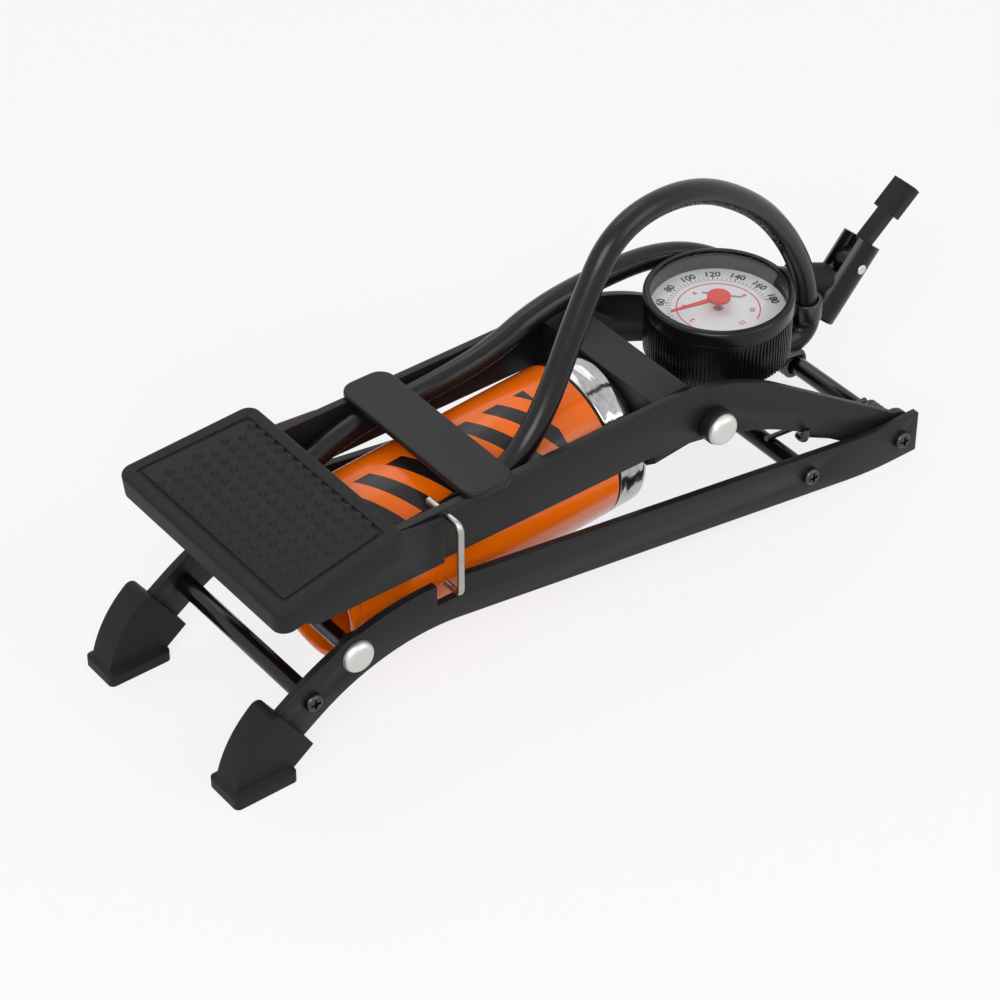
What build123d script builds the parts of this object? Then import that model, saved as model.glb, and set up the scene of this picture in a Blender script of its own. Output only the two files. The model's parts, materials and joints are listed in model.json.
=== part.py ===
"""Folding foot pump with one barrel, a pressure gauge and a stowed hose.

Millimetres, +Z up.  +X runs from the pedal end to the hinge end and +Y to the left side.
The origin lies on the floor, halfway along the frame.  Each solid is one piece of the pump.
"""

from math import asin, atan2, cos, degrees, hypot, pi, radians, sin, sqrt, tan
import os

from build123d import *

os.makedirs("parts", exist_ok=True)

# ---------------------------------------------------------------- base frame
base_length = 306.0           # toes of the rubber feet to the hinge end of the rails
base_width = 78.6             # over the outer faces of the two rails
rail_thickness = 3.0
rail_height = 17.0
rail_rise = 8.7               # degrees, the rails climb away from the hinge
knee_reach = 14.0             # where the climb starts
knee_radius = 150.0
leg_drop = 34.0               # degrees, the legs fall to the feet
leg_bend_radius = 90.0
leg_end_height = 12.0         # centre of the cut end of a leg, inside the foot
hinge_overhang = 8.0          # rail end beyond the hinge axis
front_tube_reach = 262.4      # reaches are measured from the hinge axis to the toe end
front_tube_height = 24.0
middle_tube_reach = 44.8
cross_tube_diameter = 7.0
front_pivot_reach = 244.1
front_pivot_height = 34.2
front_lug_radius = 8.4
screw_diameter = 4.0
screw_depth = 9.0
screw_head_diameter = 6.6
screw_head_height = 2.2
rivet_head_diameter = 12.0
rivet_head_height = 3.0
# ---------------------------------------------------------------- rubber feet
foot_length = 24.5
foot_width = 16.5
foot_body_width = 11.0
sole_thickness = 4.0
foot_upper_wall = 6.0
foot_bulge = 3.2              # of the curved toe side
foot_flare_height = 1.2
foot_lower_wall = 1.6
foot_sleeve_reach = 271.0     # middle of the mouth of the sleeve
# ---------------------------------------------------------------- pedal frame
arm_thickness = 3.0
arm_height = 20.8
arm_level = 62.8              # centre line of the level run of the arms
arm_slope = 34.0              # degrees, the arms fall to the hinge
arm_root_height = 15.0        # of the sloping run
arm_upper_bend = 100.0
arm_lower_bend = 140.0
arm_reach = 238.0
arm_side_gap = 1.5            # arm to rail
hinge_eye_radius = 9.0
rear_pivot_reach = 88.7
rear_pivot_height = 54.9
rear_pin_diameter = 7.0
rear_bush_length = 4.5
rear_bush_diameter = 13.0
strap_reach = 186.0
strap_width = 20.0
strap_length = 76.0
strap_thickness = 2.5
pan_thickness = 2.0
pan_flange_reach = 206.0
pan_flange_bottom = 52.5
pan_flange_toe_reach = 257.0  # where the lower edge of a flange turns up to the toe
pan_flange_toe_depth = 5.0
pad_reach = 252.3             # middle of the pad
pad_height = 72.0             # top of the pan at that place
pad_tilt = 6.5                # degrees, the toe end is the lower one
pad_length = 53.0
pad_corner = 5.0
pad_hinge_width = 88.0
pad_toe_width = 95.4
pad_thickness = 5.0
pad_skirt_depth = 9.0
pad_skirt_wall = 2.0
pad_groove_inset = 5.0
pad_groove_width = 1.4
pad_groove_depth = 0.8
# ---------------------------------------------------------------- latch wire
latch_reach = 203.5
latch_height = 70.3
latch_wire_diameter = 2.6
latch_drop = 29.5
latch_inner_leg = 7.0         # inside the right arm
latch_outer_gap = 1.4         # wire to the outer face of the rail
latch_tip = 2.3               # end of the wire past the inner face of the rail
latch_bend_radius = 3.0
latch_swing = 10.0            # degrees
# ---------------------------------------------------------------- return springs
spring_wire_diameter = 2.0
spring_mean_radius = 5.0
spring_coils = 5
spring_arm_gap = 2.0          # outer end of each coil to the inner face of the arm
spring_leg_rise = 12.8        # upper legs above the middle cross tube
spring_hook_length = 6.0
spring_leg_bend = 3.0         # of the outer leg, along its middle line
# ---------------------------------------------------------------- cylinder
barrel_tilt = 4.2             # degrees
barrel_bore = 55.0
barrel_wall = 1.5
end_ring_start = 6.5          # stations along the barrel are counted from the front pivot
end_ring_length = 8.0
barrel_end = 119.0
gasket_thickness = 1.0
head_length = 13.0
head_spigot = 5.0
head_rounding = 4.0
rod_diameter = 9.0
rod_eye_radius = 7.5
rod_eye_width = 14.0
cross_pin_diameter = 6.0
piston_length = 12.0
piston_rest_gap = 1.5         # piston to the head when the pump is folded
cup_length = 5.0
cup_wall = 1.6
piston_nut_size = 15.0
piston_nut_height = 5.0
# ---------------------------------------------------------------- yoke and outlet
yoke_thickness = 2.0
yoke_plate_length = 15.0
yoke_plate_level = 28.5       # outer face above the barrel axis
yoke_wall_drop = 14.0         # tongue of the wall below the barrel axis
yoke_tongue_width = 24.0
yoke_side_low = 1.5           # lower corners of the side plates above the barrel axis
yoke_eye_radius = 8.0
outlet_height = 41.0
outlet_radius = 7.0
outlet_spigot = 5.0
outlet_end_reach = 46.0
outlet_bore = 4.0
outlet_boss = 13.0
outlet_boss_rise = 7.5        # top of the boss above the outlet
elbow_radius = 5.5
elbow_bend_radius = 7.0
elbow_reach = 15.0
barb_length = 9.0
ferrule_length = 8.0
ferrule_wall = 1.6
valve_diameter = 10.0
valve_thickness = 1.2
valve_seat_depth = 3.0
# ---------------------------------------------------------------- gauge
gauge_reach = 57.5
gauge_diameter = 54.0
gauge_top = 78.0
case_base = 52.6
case_top = 72.0
case_diameter = 52.4
case_wall = 1.8
window_diameter = 48.8
lens_thickness = 1.0
lens_depth = 0.6
dial_level = 68.9
dial_thickness = 0.8
dial_ledge = 1.4
needle_length = 19.0
needle_tail = 3.0
needle_width = 1.6
needle_height = 73.9
needle_angle = 168.0          # degrees from +X at rest
needle_sheet = 0.5
hub_radius = 4.2
hub_length = 1.3
spindle_radius = 0.6
stem_flats = 12.0
stem_radius = 4.0
movement_height = 64.5
movement_plate = 1.5
movement_radius = 11.0
bourdon_radius = 16.0
bourdon_tube_radius = 2.0
bourdon_height = 61.0
bourdon_arc = 250.0           # degrees
bourdon_bar_height = 2.5
# ---------------------------------------------------------------- hose and chuck
hose_diameter = 9.0
hose_bore = 5.0
chuck_side = 7.7              # chuck axis from the middle of the frame
chuck_mouth_reach = 3.0
chuck_mouth_height = 38.9
neck_reach = 11.5
neck_side = 13.2
neck_height = 55.5
chuck_neck_radius = 6.2
chuck_radius = 7.6
chuck_length = 33.0
chuck_lean = 41.0             # degrees from the vertical, towards the hinge end
chuck_bore = 8.0
chuck_seal_length = 5.0
chuck_slot_width = 7.0
chuck_slot_depth = 15.0
lever_length = 35.5
lever_thickness = 5.5
lever_cam_radius = 5.0
lever_depth = 4.5
lever_paddle_width = 11.0
lever_paddle_length = 13.0
lever_lean = 50.0             # degrees from the vertical at rest
lever_pin_diameter = 4.0
lever_pin_depth = 9.5         # below the top of the chuck
# ---------------------------------------------------------------- fits
pin_fit = 0.05                # radial, a hole that turns on a pin
side_fit = 0.4                # faces that slide past each other
press_gap = 0.02              # radial, curved faces of pieces that stay together
piston_fit = 0.3              # radial, piston in the bore
cup_fit = 0.1                 # radial, lip of the cup in the bore

# ---------------------------------------------------------------- places that follow
hinge_x = base_length / 2 - hinge_overhang
hinge_z = rail_height / 2
rail_outer = base_width / 2
rail_inner = rail_outer - rail_thickness
rail_middle = rail_outer - rail_thickness / 2
arm_outer = rail_inner - arm_side_gap
arm_inner = arm_outer - arm_thickness
arm_top = arm_level + arm_height / 2
barrel_radius = barrel_bore / 2 + barrel_wall
head_start = barrel_end + gasket_thickness
head_end = head_start + head_length
yoke_outer = arm_inner - side_fit
yoke_inner = yoke_outer - yoke_thickness
front_pivot = Vector(hinge_x - front_pivot_reach, 0, front_pivot_height)
rear_pivot = Vector(hinge_x - rear_pivot_reach, 0, rear_pivot_height)
barrel_way = Vector(cos(radians(barrel_tilt)), 0, sin(radians(barrel_tilt)))
barrel_up = Vector(-sin(radians(barrel_tilt)), 0, cos(radians(barrel_tilt)))
rear_offset = rear_pivot - front_pivot
rear_station = rear_offset.dot(barrel_way)
rear_rise = rear_offset.dot(barrel_up)


def at(reach, height):
    """Point in the side view, so far from the hinge axis and so high above the floor."""
    return (hinge_x - reach, height)


def side_plane(y):
    """Side view at this y; extruding runs towards -Y."""
    return Plane.XZ.offset(-y)


def barrel_plane(station):
    """Plane square to the barrel axis, facing the head."""
    return Plane(origin=front_pivot + barrel_way * station, x_dir=(0, 1, 0), z_dir=barrel_way)


def barrel_side(y):
    """Side view that leans with the barrel: x along it from the front pivot, y square to it."""
    return Plane(origin=front_pivot + Vector(0, y, 0), x_dir=barrel_way, z_dir=(0, -1, 0))


def save(piece, name):
    """Label one finished piece and write it."""
    piece.part.label = name
    export_step(piece.part, f"parts/{name}.step")


# ================================================================ base frame
leg_slope = tan(radians(leg_drop))
rail_slope = tan(radians(rail_rise))
bend_reach = ((front_tube_height + leg_slope * front_tube_reach - hinge_z + rail_slope * knee_reach)
              / (rail_slope + leg_slope))
leg_end_reach = front_tube_reach + (front_tube_height - leg_end_height) / leg_slope
rail_path = [
    at(-hinge_overhang, hinge_z),
    at(knee_reach, hinge_z),
    at(bend_reach, hinge_z + rail_slope * (bend_reach - knee_reach)),
    at(leg_end_reach, leg_end_height),
]
bar_ends = [(0.0, hinge_z), (middle_tube_reach, hinge_z + rail_slope * (middle_tube_reach - knee_reach)),
            (front_tube_reach, front_tube_height)]
notch_near = latch_reach - latch_wire_diameter / 2 - 2.0
notch_far = latch_reach + latch_wire_diameter / 2 + 1.2 + latch_drop * sin(radians(latch_swing))
notch_floor = latch_height - latch_drop - latch_wire_diameter / 2 - 1.5


def rail_sketch():
    """Outline of one rail: bent strip with an eye around the front pivot."""
    with BuildSketch() as outline:
        with BuildLine():
            FilletPolyline(*rail_path, radius=[knee_radius, leg_bend_radius])
        trace(line_width=rail_height)
        with Locations(at(front_pivot_reach, front_pivot_height)):
            Circle(front_lug_radius)
        with Locations(*[at(*end) for end in bar_ends]):
            Circle(screw_diameter / 2 + press_gap, mode=Mode.SUBTRACT)
        with Locations(at(front_pivot_reach, front_pivot_height)):
            Circle(cross_pin_diameter / 2 + press_gap, mode=Mode.SUBTRACT)
    return outline.sketch


with BuildPart() as base_rail_left:
    with BuildSketch(side_plane(rail_outer)):
        add(rail_sketch())
    extrude(amount=rail_thickness)
save(base_rail_left, "base_rail_left")

with BuildPart() as base_rail_right:
    with BuildSketch(side_plane(-rail_inner)):
        add(rail_sketch())
    extrude(amount=rail_thickness)
    # slot, open at the top, that the tip of the latch wire drops into
    with BuildSketch(side_plane(-rail_inner)):
        with Locations(at((notch_near + notch_far) / 2, notch_floor + rail_height / 2)):
            Rectangle(notch_far - notch_near, rail_height)
    extrude(amount=rail_thickness, mode=Mode.SUBTRACT)
save(base_rail_right, "base_rail_right")


def cross_tube(name, reach, height):
    """One round tube between the rails, tapped at both ends for the screws."""
    with BuildPart() as tube:
        with BuildSketch(side_plane(rail_inner)):
            with Locations(at(reach, height)):
                Circle(cross_tube_diameter / 2)
        extrude(amount=2 * rail_inner)
        for top in (rail_inner, -rail_inner + screw_depth):
            with BuildSketch(side_plane(top)):
                with Locations(at(reach, height)):
                    Circle(screw_diameter / 2 + press_gap)
            extrude(amount=screw_depth, mode=Mode.SUBTRACT)
    save(tube, name)


for tube_name, tube_end in zip(("hinge_axle", "middle_cross_tube", "front_cross_tube"), bar_ends):
    cross_tube(tube_name, *tube_end)

# six pan-head screws with cross recesses
with BuildPart() as frame_screws:
    for reach, height in bar_ends:
        for side in (1, -1):
            with BuildSketch(Plane(origin=(hinge_x - reach, side * rail_outer, height),
                                   x_dir=(side, 0, 0), z_dir=(0, side, 0))):
                Circle(screw_head_diameter / 2)
            head = extrude(amount=screw_head_height)
            fillet(head.faces().sort_by(Axis.Y)[-1 if side > 0 else 0].edges(), screw_head_height * 0.6)
            with BuildSketch(Plane(origin=(hinge_x - reach, side * rail_outer, height),
                                   x_dir=(side, 0, 0), z_dir=(0, -side, 0))):
                Circle(screw_diameter / 2)
            extrude(amount=rail_thickness + screw_depth - 1)
            with BuildSketch(Plane(origin=(hinge_x - reach, side * (rail_outer + screw_head_height), height),
                                   x_dir=(side, 0, 0), z_dir=(0, -side, 0))):
                Rectangle(screw_diameter, 1)
                Rectangle(1, screw_diameter)
            extrude(amount=screw_head_height / 2, mode=Mode.SUBTRACT)
save(frame_screws, "frame_screws")

# two domed rivets that close the front pivot on the rails
with BuildPart() as front_pivot_rivets:
    for side in (1, -1):
        with BuildSketch(Plane(origin=(front_pivot.X, side * rail_inner, front_pivot.Z),
                               x_dir=(side, 0, 0), z_dir=(0, side, 0))):
            Circle(cross_pin_diameter / 2)
        extrude(amount=rail_thickness)
        with BuildSketch(Plane(origin=(front_pivot.X, side * rail_outer, front_pivot.Z),
                               x_dir=(side, 0, 0), z_dir=(0, side, 0))):
            Circle(rivet_head_diameter / 2)
        dome = extrude(amount=rivet_head_height)
        fillet(dome.faces().sort_by(Axis.Y)[-1 if side > 0 else 0].edges(), rivet_head_height * 0.9)
save(front_pivot_rivets, "front_pivot_rivets")


# ================================================================ rubber feet
toe_x = -base_length / 2
sleeve_mid = Vector(hinge_x - foot_sleeve_reach,
                    front_tube_height - leg_slope * (foot_sleeve_reach - front_tube_reach))
leg_way = Vector(-cos(radians(leg_drop)), -sin(radians(leg_drop)))
leg_side = Vector(-sin(radians(leg_drop)), cos(radians(leg_drop)))


def rubber_foot(name, side):
    """Moulded foot: a sleeve over the end of the leg on a flared flat sole."""
    middle = side * rail_middle
    upper = sleeve_mid + leg_side * (rail_height / 2 + foot_upper_wall)
    lower = sleeve_mid - leg_side * (rail_height / 2 + foot_lower_wall)
    heel_x = toe_x + foot_length
    with BuildPart() as foot:
        with BuildSketch(side_plane(middle + foot_body_width / 2)):
            with BuildLine():
                Polyline((upper.X, upper.Y), (lower.X, lower.Y), (heel_x - 1, sole_thickness - 1),
                         (toe_x + 1, sole_thickness - 1))
                SagittaArc((toe_x + 1, sole_thickness - 1), (upper.X, upper.Y), foot_bulge)
            make_face()
        extrude(amount=foot_body_width)
        fillet(foot.edges().filter_by(Axis.Y).group_by(Axis.Z)[-1], 3)
        with BuildSketch(Plane.XY):
            with Locations(((toe_x + heel_x) / 2, middle)):
                RectangleRounded(foot_length, foot_width, 2)
        extrude(amount=sole_thickness)
        with BuildSketch(Plane.XY.offset(sole_thickness)):
            with Locations(((toe_x + heel_x) / 2, middle)):
                RectangleRounded(foot_length, foot_width, 2)
        with BuildSketch(Plane.XY.offset(sole_thickness + foot_flare_height)):
            with Locations(((toe_x + heel_x) / 2, middle)):
                RectangleRounded(foot_length - 3, foot_body_width, 2)
        loft()
        with BuildSketch(side_plane(middle + rail_thickness / 2 + press_gap)):
            with BuildLine():
                Line(*[(p.X, p.Y) for p in (sleeve_mid - leg_way * rail_height,
                                            Vector(*rail_path[-1]) + leg_way * press_gap)])
            trace(line_width=rail_height + 2 * press_gap)
        extrude(amount=rail_thickness + 2 * press_gap, mode=Mode.SUBTRACT)
    save(foot, name)


rubber_foot("foot_boot_left", 1)
rubber_foot("foot_boot_right", -1)


# ================================================================ pedal frame
arm_way = Vector(cos(radians(arm_slope)), sin(radians(arm_slope)))      # reach, height
arm_normal = Vector(-arm_way.Y, arm_way.X)


def arm_edge(side, level, radius):
    """One long edge of an arm: level, a wide bend, then down to the hinge."""
    root = Vector(0, hinge_z) + arm_normal * (side * arm_root_height / 2)
    bend = root.X + (level - root.Y) / tan(radians(arm_slope))
    FilletPolyline(at(arm_reach, level), at(bend, level), at(root.X, root.Y), radius=radius)
    return at(root.X, root.Y)


pan_plane = Plane(origin=(hinge_x - pad_reach, 0, pad_height),
                  x_dir=(cos(radians(pad_tilt)), 0, sin(radians(pad_tilt))),
                  z_dir=(-sin(radians(pad_tilt)), 0, cos(radians(pad_tilt))))


def pad_outline(inset):
    """Four-sided outline of the pad, wider at the toe end, drawn inside by the inset."""
    half = pad_length / 2 - inset
    toe, heel = pad_toe_width / 2 - inset, pad_hinge_width / 2 - inset
    with BuildSketch() as outline:
        with BuildLine():
            Polyline((-half, -toe), (-half, toe), (half, heel), (half, -heel), close=True)
        make_face()
        fillet(outline.vertices(), max(pad_corner - inset, 1.0))
    return outline.sketch


def pedal_arm(name, top_y, latch_hole):
    """Pressed strip on edge from the hinge to the pedal pan."""
    with BuildPart() as arm:
        with BuildSketch(side_plane(top_y)):
            with BuildLine():
                upper = arm_edge(1, arm_top, arm_upper_bend)
                lower = arm_edge(-1, arm_top - arm_height, arm_lower_bend)
                Line(upper, lower)
                Line(at(arm_reach, arm_top), at(arm_reach, arm_top - arm_height))
            make_face()
            with Locations(at(0, hinge_z)):
                Circle(hinge_eye_radius)
                Circle(cross_tube_diameter / 2 + pin_fit, mode=Mode.SUBTRACT)
            with Locations(at(rear_pivot_reach, rear_pivot_height)):
                Circle(rear_pin_diameter / 2 + press_gap, mode=Mode.SUBTRACT)
            if latch_hole:
                with Locations(at(latch_reach, latch_height)):
                    Circle(latch_wire_diameter / 2 + pin_fit, mode=Mode.SUBTRACT)
        extrude(amount=arm_thickness)
        with BuildSketch(pan_plane.offset(-pan_thickness)):
            Rectangle(pad_length - 2 * pad_skirt_wall, base_width)
        extrude(amount=arm_height, mode=Mode.SUBTRACT)
    save(arm, name)


pedal_arm("pedal_arm_left", arm_outer, False)
pedal_arm("pedal_arm_right", -arm_inner, True)

# sheet pan under the pad, with two side flanges outside the arms
plate_half = pad_length / 2 - pad_skirt_wall
plate_middle = pan_plane.offset(-pan_thickness / 2)
plate_toe = plate_middle.from_local_coords((-plate_half + 1, 0, 0))
plate_heel = plate_middle.from_local_coords((plate_half - 1, 0, 0))
with BuildPart() as pedal_pan:
    with BuildSketch(pan_plane):
        add(pad_outline(pad_skirt_wall + press_gap))
    extrude(amount=-pan_thickness)
    for top_y in (arm_outer + pan_thickness, -arm_outer):
        with BuildSketch(side_plane(top_y)):
            with BuildLine():
                Polyline(at(pan_flange_reach, pan_flange_bottom),
                         at(pan_flange_toe_reach, pan_flange_bottom),
                         (plate_toe.X, plate_toe.Z - pan_flange_toe_depth),
                         (plate_toe.X, plate_toe.Z), (plate_heel.X, plate_heel.Z),
                         at(pan_flange_reach, plate_heel.Z - pan_thickness), close=True)
            make_face()
        extrude(amount=pan_thickness)
save(pedal_pan, "pedal_pan")

# moulded rubber pad, wrapped round the edges of the pan
with BuildPart() as pedal_pad:
    with BuildSketch(pan_plane.offset(pad_thickness)):
        add(pad_outline(0))
    extrude(amount=-pad_skirt_depth)
    fillet(pedal_pad.faces().sort_by(Axis.Z)[-1].edges(), 1.5)
    with BuildSketch(pan_plane):
        add(pad_outline(pad_skirt_wall))
    extrude(amount=-pad_skirt_depth, mode=Mode.SUBTRACT)
    with BuildSketch(pan_plane.offset(pad_thickness)):
        add(pad_outline(pad_groove_inset))
        add(pad_outline(pad_groove_inset + pad_groove_width), mode=Mode.SUBTRACT)
    extrude(amount=-pad_groove_depth, mode=Mode.SUBTRACT)
    # the arms and flanges pass through the skirt that faces the hinge
    gate = arm_outer + pan_thickness - arm_inner + 2 * side_fit
    for top_y in (arm_outer + pan_thickness + side_fit, -arm_inner + side_fit):
        with BuildSketch(side_plane(top_y)):
            with Locations(at(pad_reach - pad_length / 2, arm_top + side_fit - arm_height / 2)):
                Rectangle(4 * pad_skirt_wall, arm_height)
        extrude(amount=gate, mode=Mode.SUBTRACT)
save(pedal_pad, "pedal_pad")

with BuildPart() as pedal_strap:
    with BuildSketch(Plane.XY.offset(arm_top)):
        with Locations(at(strap_reach, 0)):
            SlotOverall(strap_length, strap_width, rotation=90)
            RectangleRounded(strap_width, strap_length, 6)
    strap = extrude(amount=strap_thickness)
    fillet(pedal_strap.faces().sort_by(Axis.Z)[-1].edges(), 0.8)
save(pedal_strap, "pedal_strap")

# pivot on which the cylinder hangs, riveted over at both ends
bush_end = arm_outer + rear_bush_length
with BuildPart() as rear_pivot_pin:
    with BuildSketch(side_plane(bush_end)):
        with Locations(at(rear_pivot_reach, rear_pivot_height)):
            Circle(rear_pin_diameter / 2)
    extrude(amount=2 * bush_end)
    for side in (1, -1):
        with BuildSketch(Plane(origin=(rear_pivot.X, side * bush_end, rear_pivot.Z),
                               x_dir=(side, 0, 0), z_dir=(0, side, 0))):
            Circle(rivet_head_diameter / 2)
        dome = extrude(amount=rivet_head_height)
        fillet(dome.faces().sort_by(Axis.Y)[-1 if side > 0 else 0].edges(), rivet_head_height * 0.9)
save(rear_pivot_pin, "rear_pivot_pin")

with BuildPart() as pivot_spacers:
    for top_y in (bush_end, -arm_outer):
        with BuildSketch(side_plane(top_y)):
            with Locations(at(rear_pivot_reach, rear_pivot_height)):
                Circle(rear_bush_diameter / 2)
                Circle(rear_pin_diameter / 2 + press_gap, mode=Mode.SUBTRACT)
        extrude(amount=rear_bush_length)
save(pivot_spacers, "pivot_spacers")

# wire hook that holds the pedal frame down on the right rail
latch_x = hinge_x - latch_reach
latch_y = -(rail_outer + latch_outer_gap + latch_wire_diameter / 2)
latch_low = latch_height - latch_drop
with BuildPart() as latch_wire:
    with BuildLine() as latch_line:
        FilletPolyline((latch_x, -arm_inner + latch_inner_leg, latch_height),
                       (latch_x, latch_y, latch_height), (latch_x, latch_y, latch_low),
                       (latch_x, -rail_inner + latch_tip, latch_low), radius=latch_bend_radius)
    with BuildSketch(Plane(origin=latch_line.line @ 0, x_dir=(1, 0, 0), z_dir=latch_line.line % 0)):
        Circle(latch_wire_diameter / 2)
    sweep()
save(latch_wire, "latch_wire")


# ================================================================ return springs
def tangent_angle(end, side):
    """Angle round the axle of the point where a straight leg leaves the coil."""
    away = Vector(*end)
    return atan2(away.Y, away.X) - side * acos_of(spring_mean_radius / away.length)


def acos_of(value):
    """Angle whose cosine is the value."""
    return pi / 2 - asin(value)


middle_tube_height = bar_ends[1][1]
leg_rest = middle_tube_height + (cross_tube_diameter + spring_wire_diameter) / 2 + press_gap + 0.5
# the ends of the legs, reckoned from the hinge axis as the whole wire is
lower_leg_end = (-middle_tube_reach - 3, leg_rest - hinge_z)
upper_leg_end = (-middle_tube_reach, middle_tube_height + spring_leg_rise - hinge_z)
start_angle = tangent_angle(lower_leg_end, 1)
end_angle = tangent_angle(upper_leg_end, -1)
spring_pitch = spring_wire_diameter + 0.1
spring_turns = spring_coils + (end_angle - start_angle) / (2 * pi)
coil_length = spring_pitch * spring_turns


def on_coil(angle, y):
    """Point of the coil's centre line at this angle."""
    return Vector(spring_mean_radius * cos(angle), y, spring_mean_radius * sin(angle))


spring_side = arm_inner - spring_arm_gap - coil_length
coil_plane = Plane(origin=(0, -spring_side, 0),
                   x_dir=(cos(start_angle), 0, sin(start_angle)), z_dir=(0, -1, 0))
coil_curve = coil_plane * Helix(pitch=spring_pitch, height=coil_length, radius=spring_mean_radius)
with BuildPart() as bent_wire:
    with BuildSketch(Plane(origin=coil_curve @ 0, z_dir=coil_curve % 0)):
        Circle(spring_wire_diameter / 2)
    sweep(path=coil_curve, is_frenet=True)
    coil_start = on_coil(start_angle, -spring_side)
    coil_end = on_coil(end_angle, -spring_side - coil_length)
    hook_y = -arm_outer - spring_wire_diameter / 2 - 0.25
    legs = [
        [coil_start, Vector(lower_leg_end[0], -spring_side, lower_leg_end[1])],
        [coil_end, Vector(upper_leg_end[0], -spring_side - coil_length, upper_leg_end[1]),
         Vector(upper_leg_end[0], hook_y, upper_leg_end[1]),
         Vector(upper_leg_end[0], hook_y, upper_leg_end[1] + spring_hook_length)],
    ]
    for leg in legs:
        with BuildLine() as run:
            if len(leg) > 2:
                FilletPolyline(*leg, radius=spring_leg_bend)
            else:
                Line(*leg)
        with BuildSketch(Plane(origin=run.line @ 0, z_dir=run.line % 0)):
            Circle(spring_wire_diameter / 2)
        sweep(path=run.line)
    with Locations(coil_start, coil_end):
        Sphere(spring_wire_diameter / 2 + 0.1)

with BuildPart() as return_spring_left:
    with Locations((hinge_x, 0, hinge_z)):
        add(mirror(bent_wire.part, about=Plane.XZ, mode=Mode.PRIVATE))
save(return_spring_left, "return_spring_left")

with BuildPart() as return_spring_right:
    add(mirror(return_spring_left.part, about=Plane.XZ, mode=Mode.PRIVATE))
save(return_spring_right, "return_spring_right")


# ================================================================ cylinder
def ring(part_plane, outer, inner, length):
    """Tube on this plane."""
    with BuildSketch(part_plane) as outline:
        Circle(outer)
        if inner:
            Circle(inner, mode=Mode.SUBTRACT)
    return extrude(outline.sketch, amount=length)


ring_step = end_ring_length / 2
with BuildPart() as barrel:
    ring(barrel_plane(end_ring_start + ring_step), barrel_radius, barrel_bore / 2,
         barrel_end - end_ring_start - ring_step)
save(barrel, "barrel")

# ring over the open end, with a short collar inside the bore
with BuildPart() as barrel_end_ring:
    ring(barrel_plane(end_ring_start), barrel_radius, barrel_bore / 2 - barrel_wall, ring_step)
    ring(barrel_plane(end_ring_start + ring_step), barrel_bore / 2 - press_gap,
         barrel_bore / 2 - barrel_wall, ring_step)
save(barrel_end_ring, "barrel_end_ring")

with BuildPart() as head_gasket:
    ring(barrel_plane(barrel_end), barrel_radius - 0.5, barrel_bore / 2 - head_spigot / 2, gasket_thickness)
save(head_gasket, "head_gasket")

outlet_boss_top = outlet_height + outlet_boss_rise
outlet_drop = (outlet_height - front_pivot.Z - (head_end * barrel_way.Z)) / cos(radians(barrel_tilt))
with BuildPart() as head_cap:
    ring(barrel_plane(head_start), barrel_radius, 0, head_length)
    far_edge = head_cap.faces().sort_by(Axis.X)[-1].edges()
    fillet(far_edge, head_rounding)
    ring(barrel_plane(head_start - head_spigot), barrel_bore / 2 - head_spigot / 2 - press_gap, 0, head_spigot)
    with BuildSketch(barrel_plane(head_start - head_spigot)):
        with Locations((0, outlet_drop)):
            Circle(outlet_bore / 2)
    extrude(amount=head_spigot + head_length, mode=Mode.SUBTRACT)
    with BuildSketch(barrel_plane(head_start - head_spigot)):
        with Locations((0, outlet_drop)):
            Circle(valve_diameter / 2 + press_gap)
    extrude(amount=valve_seat_depth, mode=Mode.SUBTRACT)
    with BuildSketch(barrel_plane(head_end)):
        with Locations((0, outlet_drop)):
            Circle(outlet_spigot + press_gap)
    extrude(amount=-head_spigot, mode=Mode.SUBTRACT)
save(head_cap, "head_cap")

with BuildPart() as check_valve_disc:
    with BuildSketch(barrel_plane(head_start - head_spigot + valve_seat_depth)):
        with Locations((0, outlet_drop)):
            Circle(valve_diameter / 2)
    extrude(amount=-valve_thickness)
save(check_valve_disc, "check_valve_disc")

# steel yoke on the head: a back wall, two cheeks that hang on the rear pivot and a top plate
with BuildPart() as head_yoke:
    with BuildSketch(barrel_plane(head_end)):
        with BuildLine():
            Polyline((-yoke_outer, yoke_plate_level), (yoke_outer, yoke_plate_level),
                     (yoke_outer, yoke_side_low), (yoke_tongue_width / 2, -yoke_wall_drop),
                     (-yoke_tongue_width / 2, -yoke_wall_drop), (-yoke_outer, yoke_side_low), close=True)
        make_face()
        with Locations((0, outlet_drop)):
            Circle(outlet_spigot + press_gap, mode=Mode.SUBTRACT)
    extrude(amount=yoke_thickness)
    for top_y in (yoke_outer, -yoke_inner):
        with BuildSketch(barrel_side(top_y)):
            with BuildLine():
                Polyline((head_end, yoke_plate_level), (head_end + yoke_plate_length, yoke_plate_level),
                         (rear_station + yoke_eye_radius, rear_rise + yoke_eye_radius / 2),
                         (rear_station + yoke_eye_radius / 2, rear_rise - yoke_eye_radius * 0.85),
                         (head_end, yoke_side_low), close=True)
            make_face()
            with Locations((rear_station, rear_rise)):
                Circle(yoke_eye_radius)
                Circle(rear_pin_diameter / 2 + pin_fit, mode=Mode.SUBTRACT)
        extrude(amount=yoke_thickness)
    with BuildSketch(barrel_side(yoke_outer)):
        with Locations((head_end + yoke_plate_length / 2, yoke_plate_level - yoke_thickness / 2)):
            Rectangle(yoke_plate_length, yoke_thickness)
    extrude(amount=2 * yoke_outer)
save(head_yoke, "head_yoke")

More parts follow.
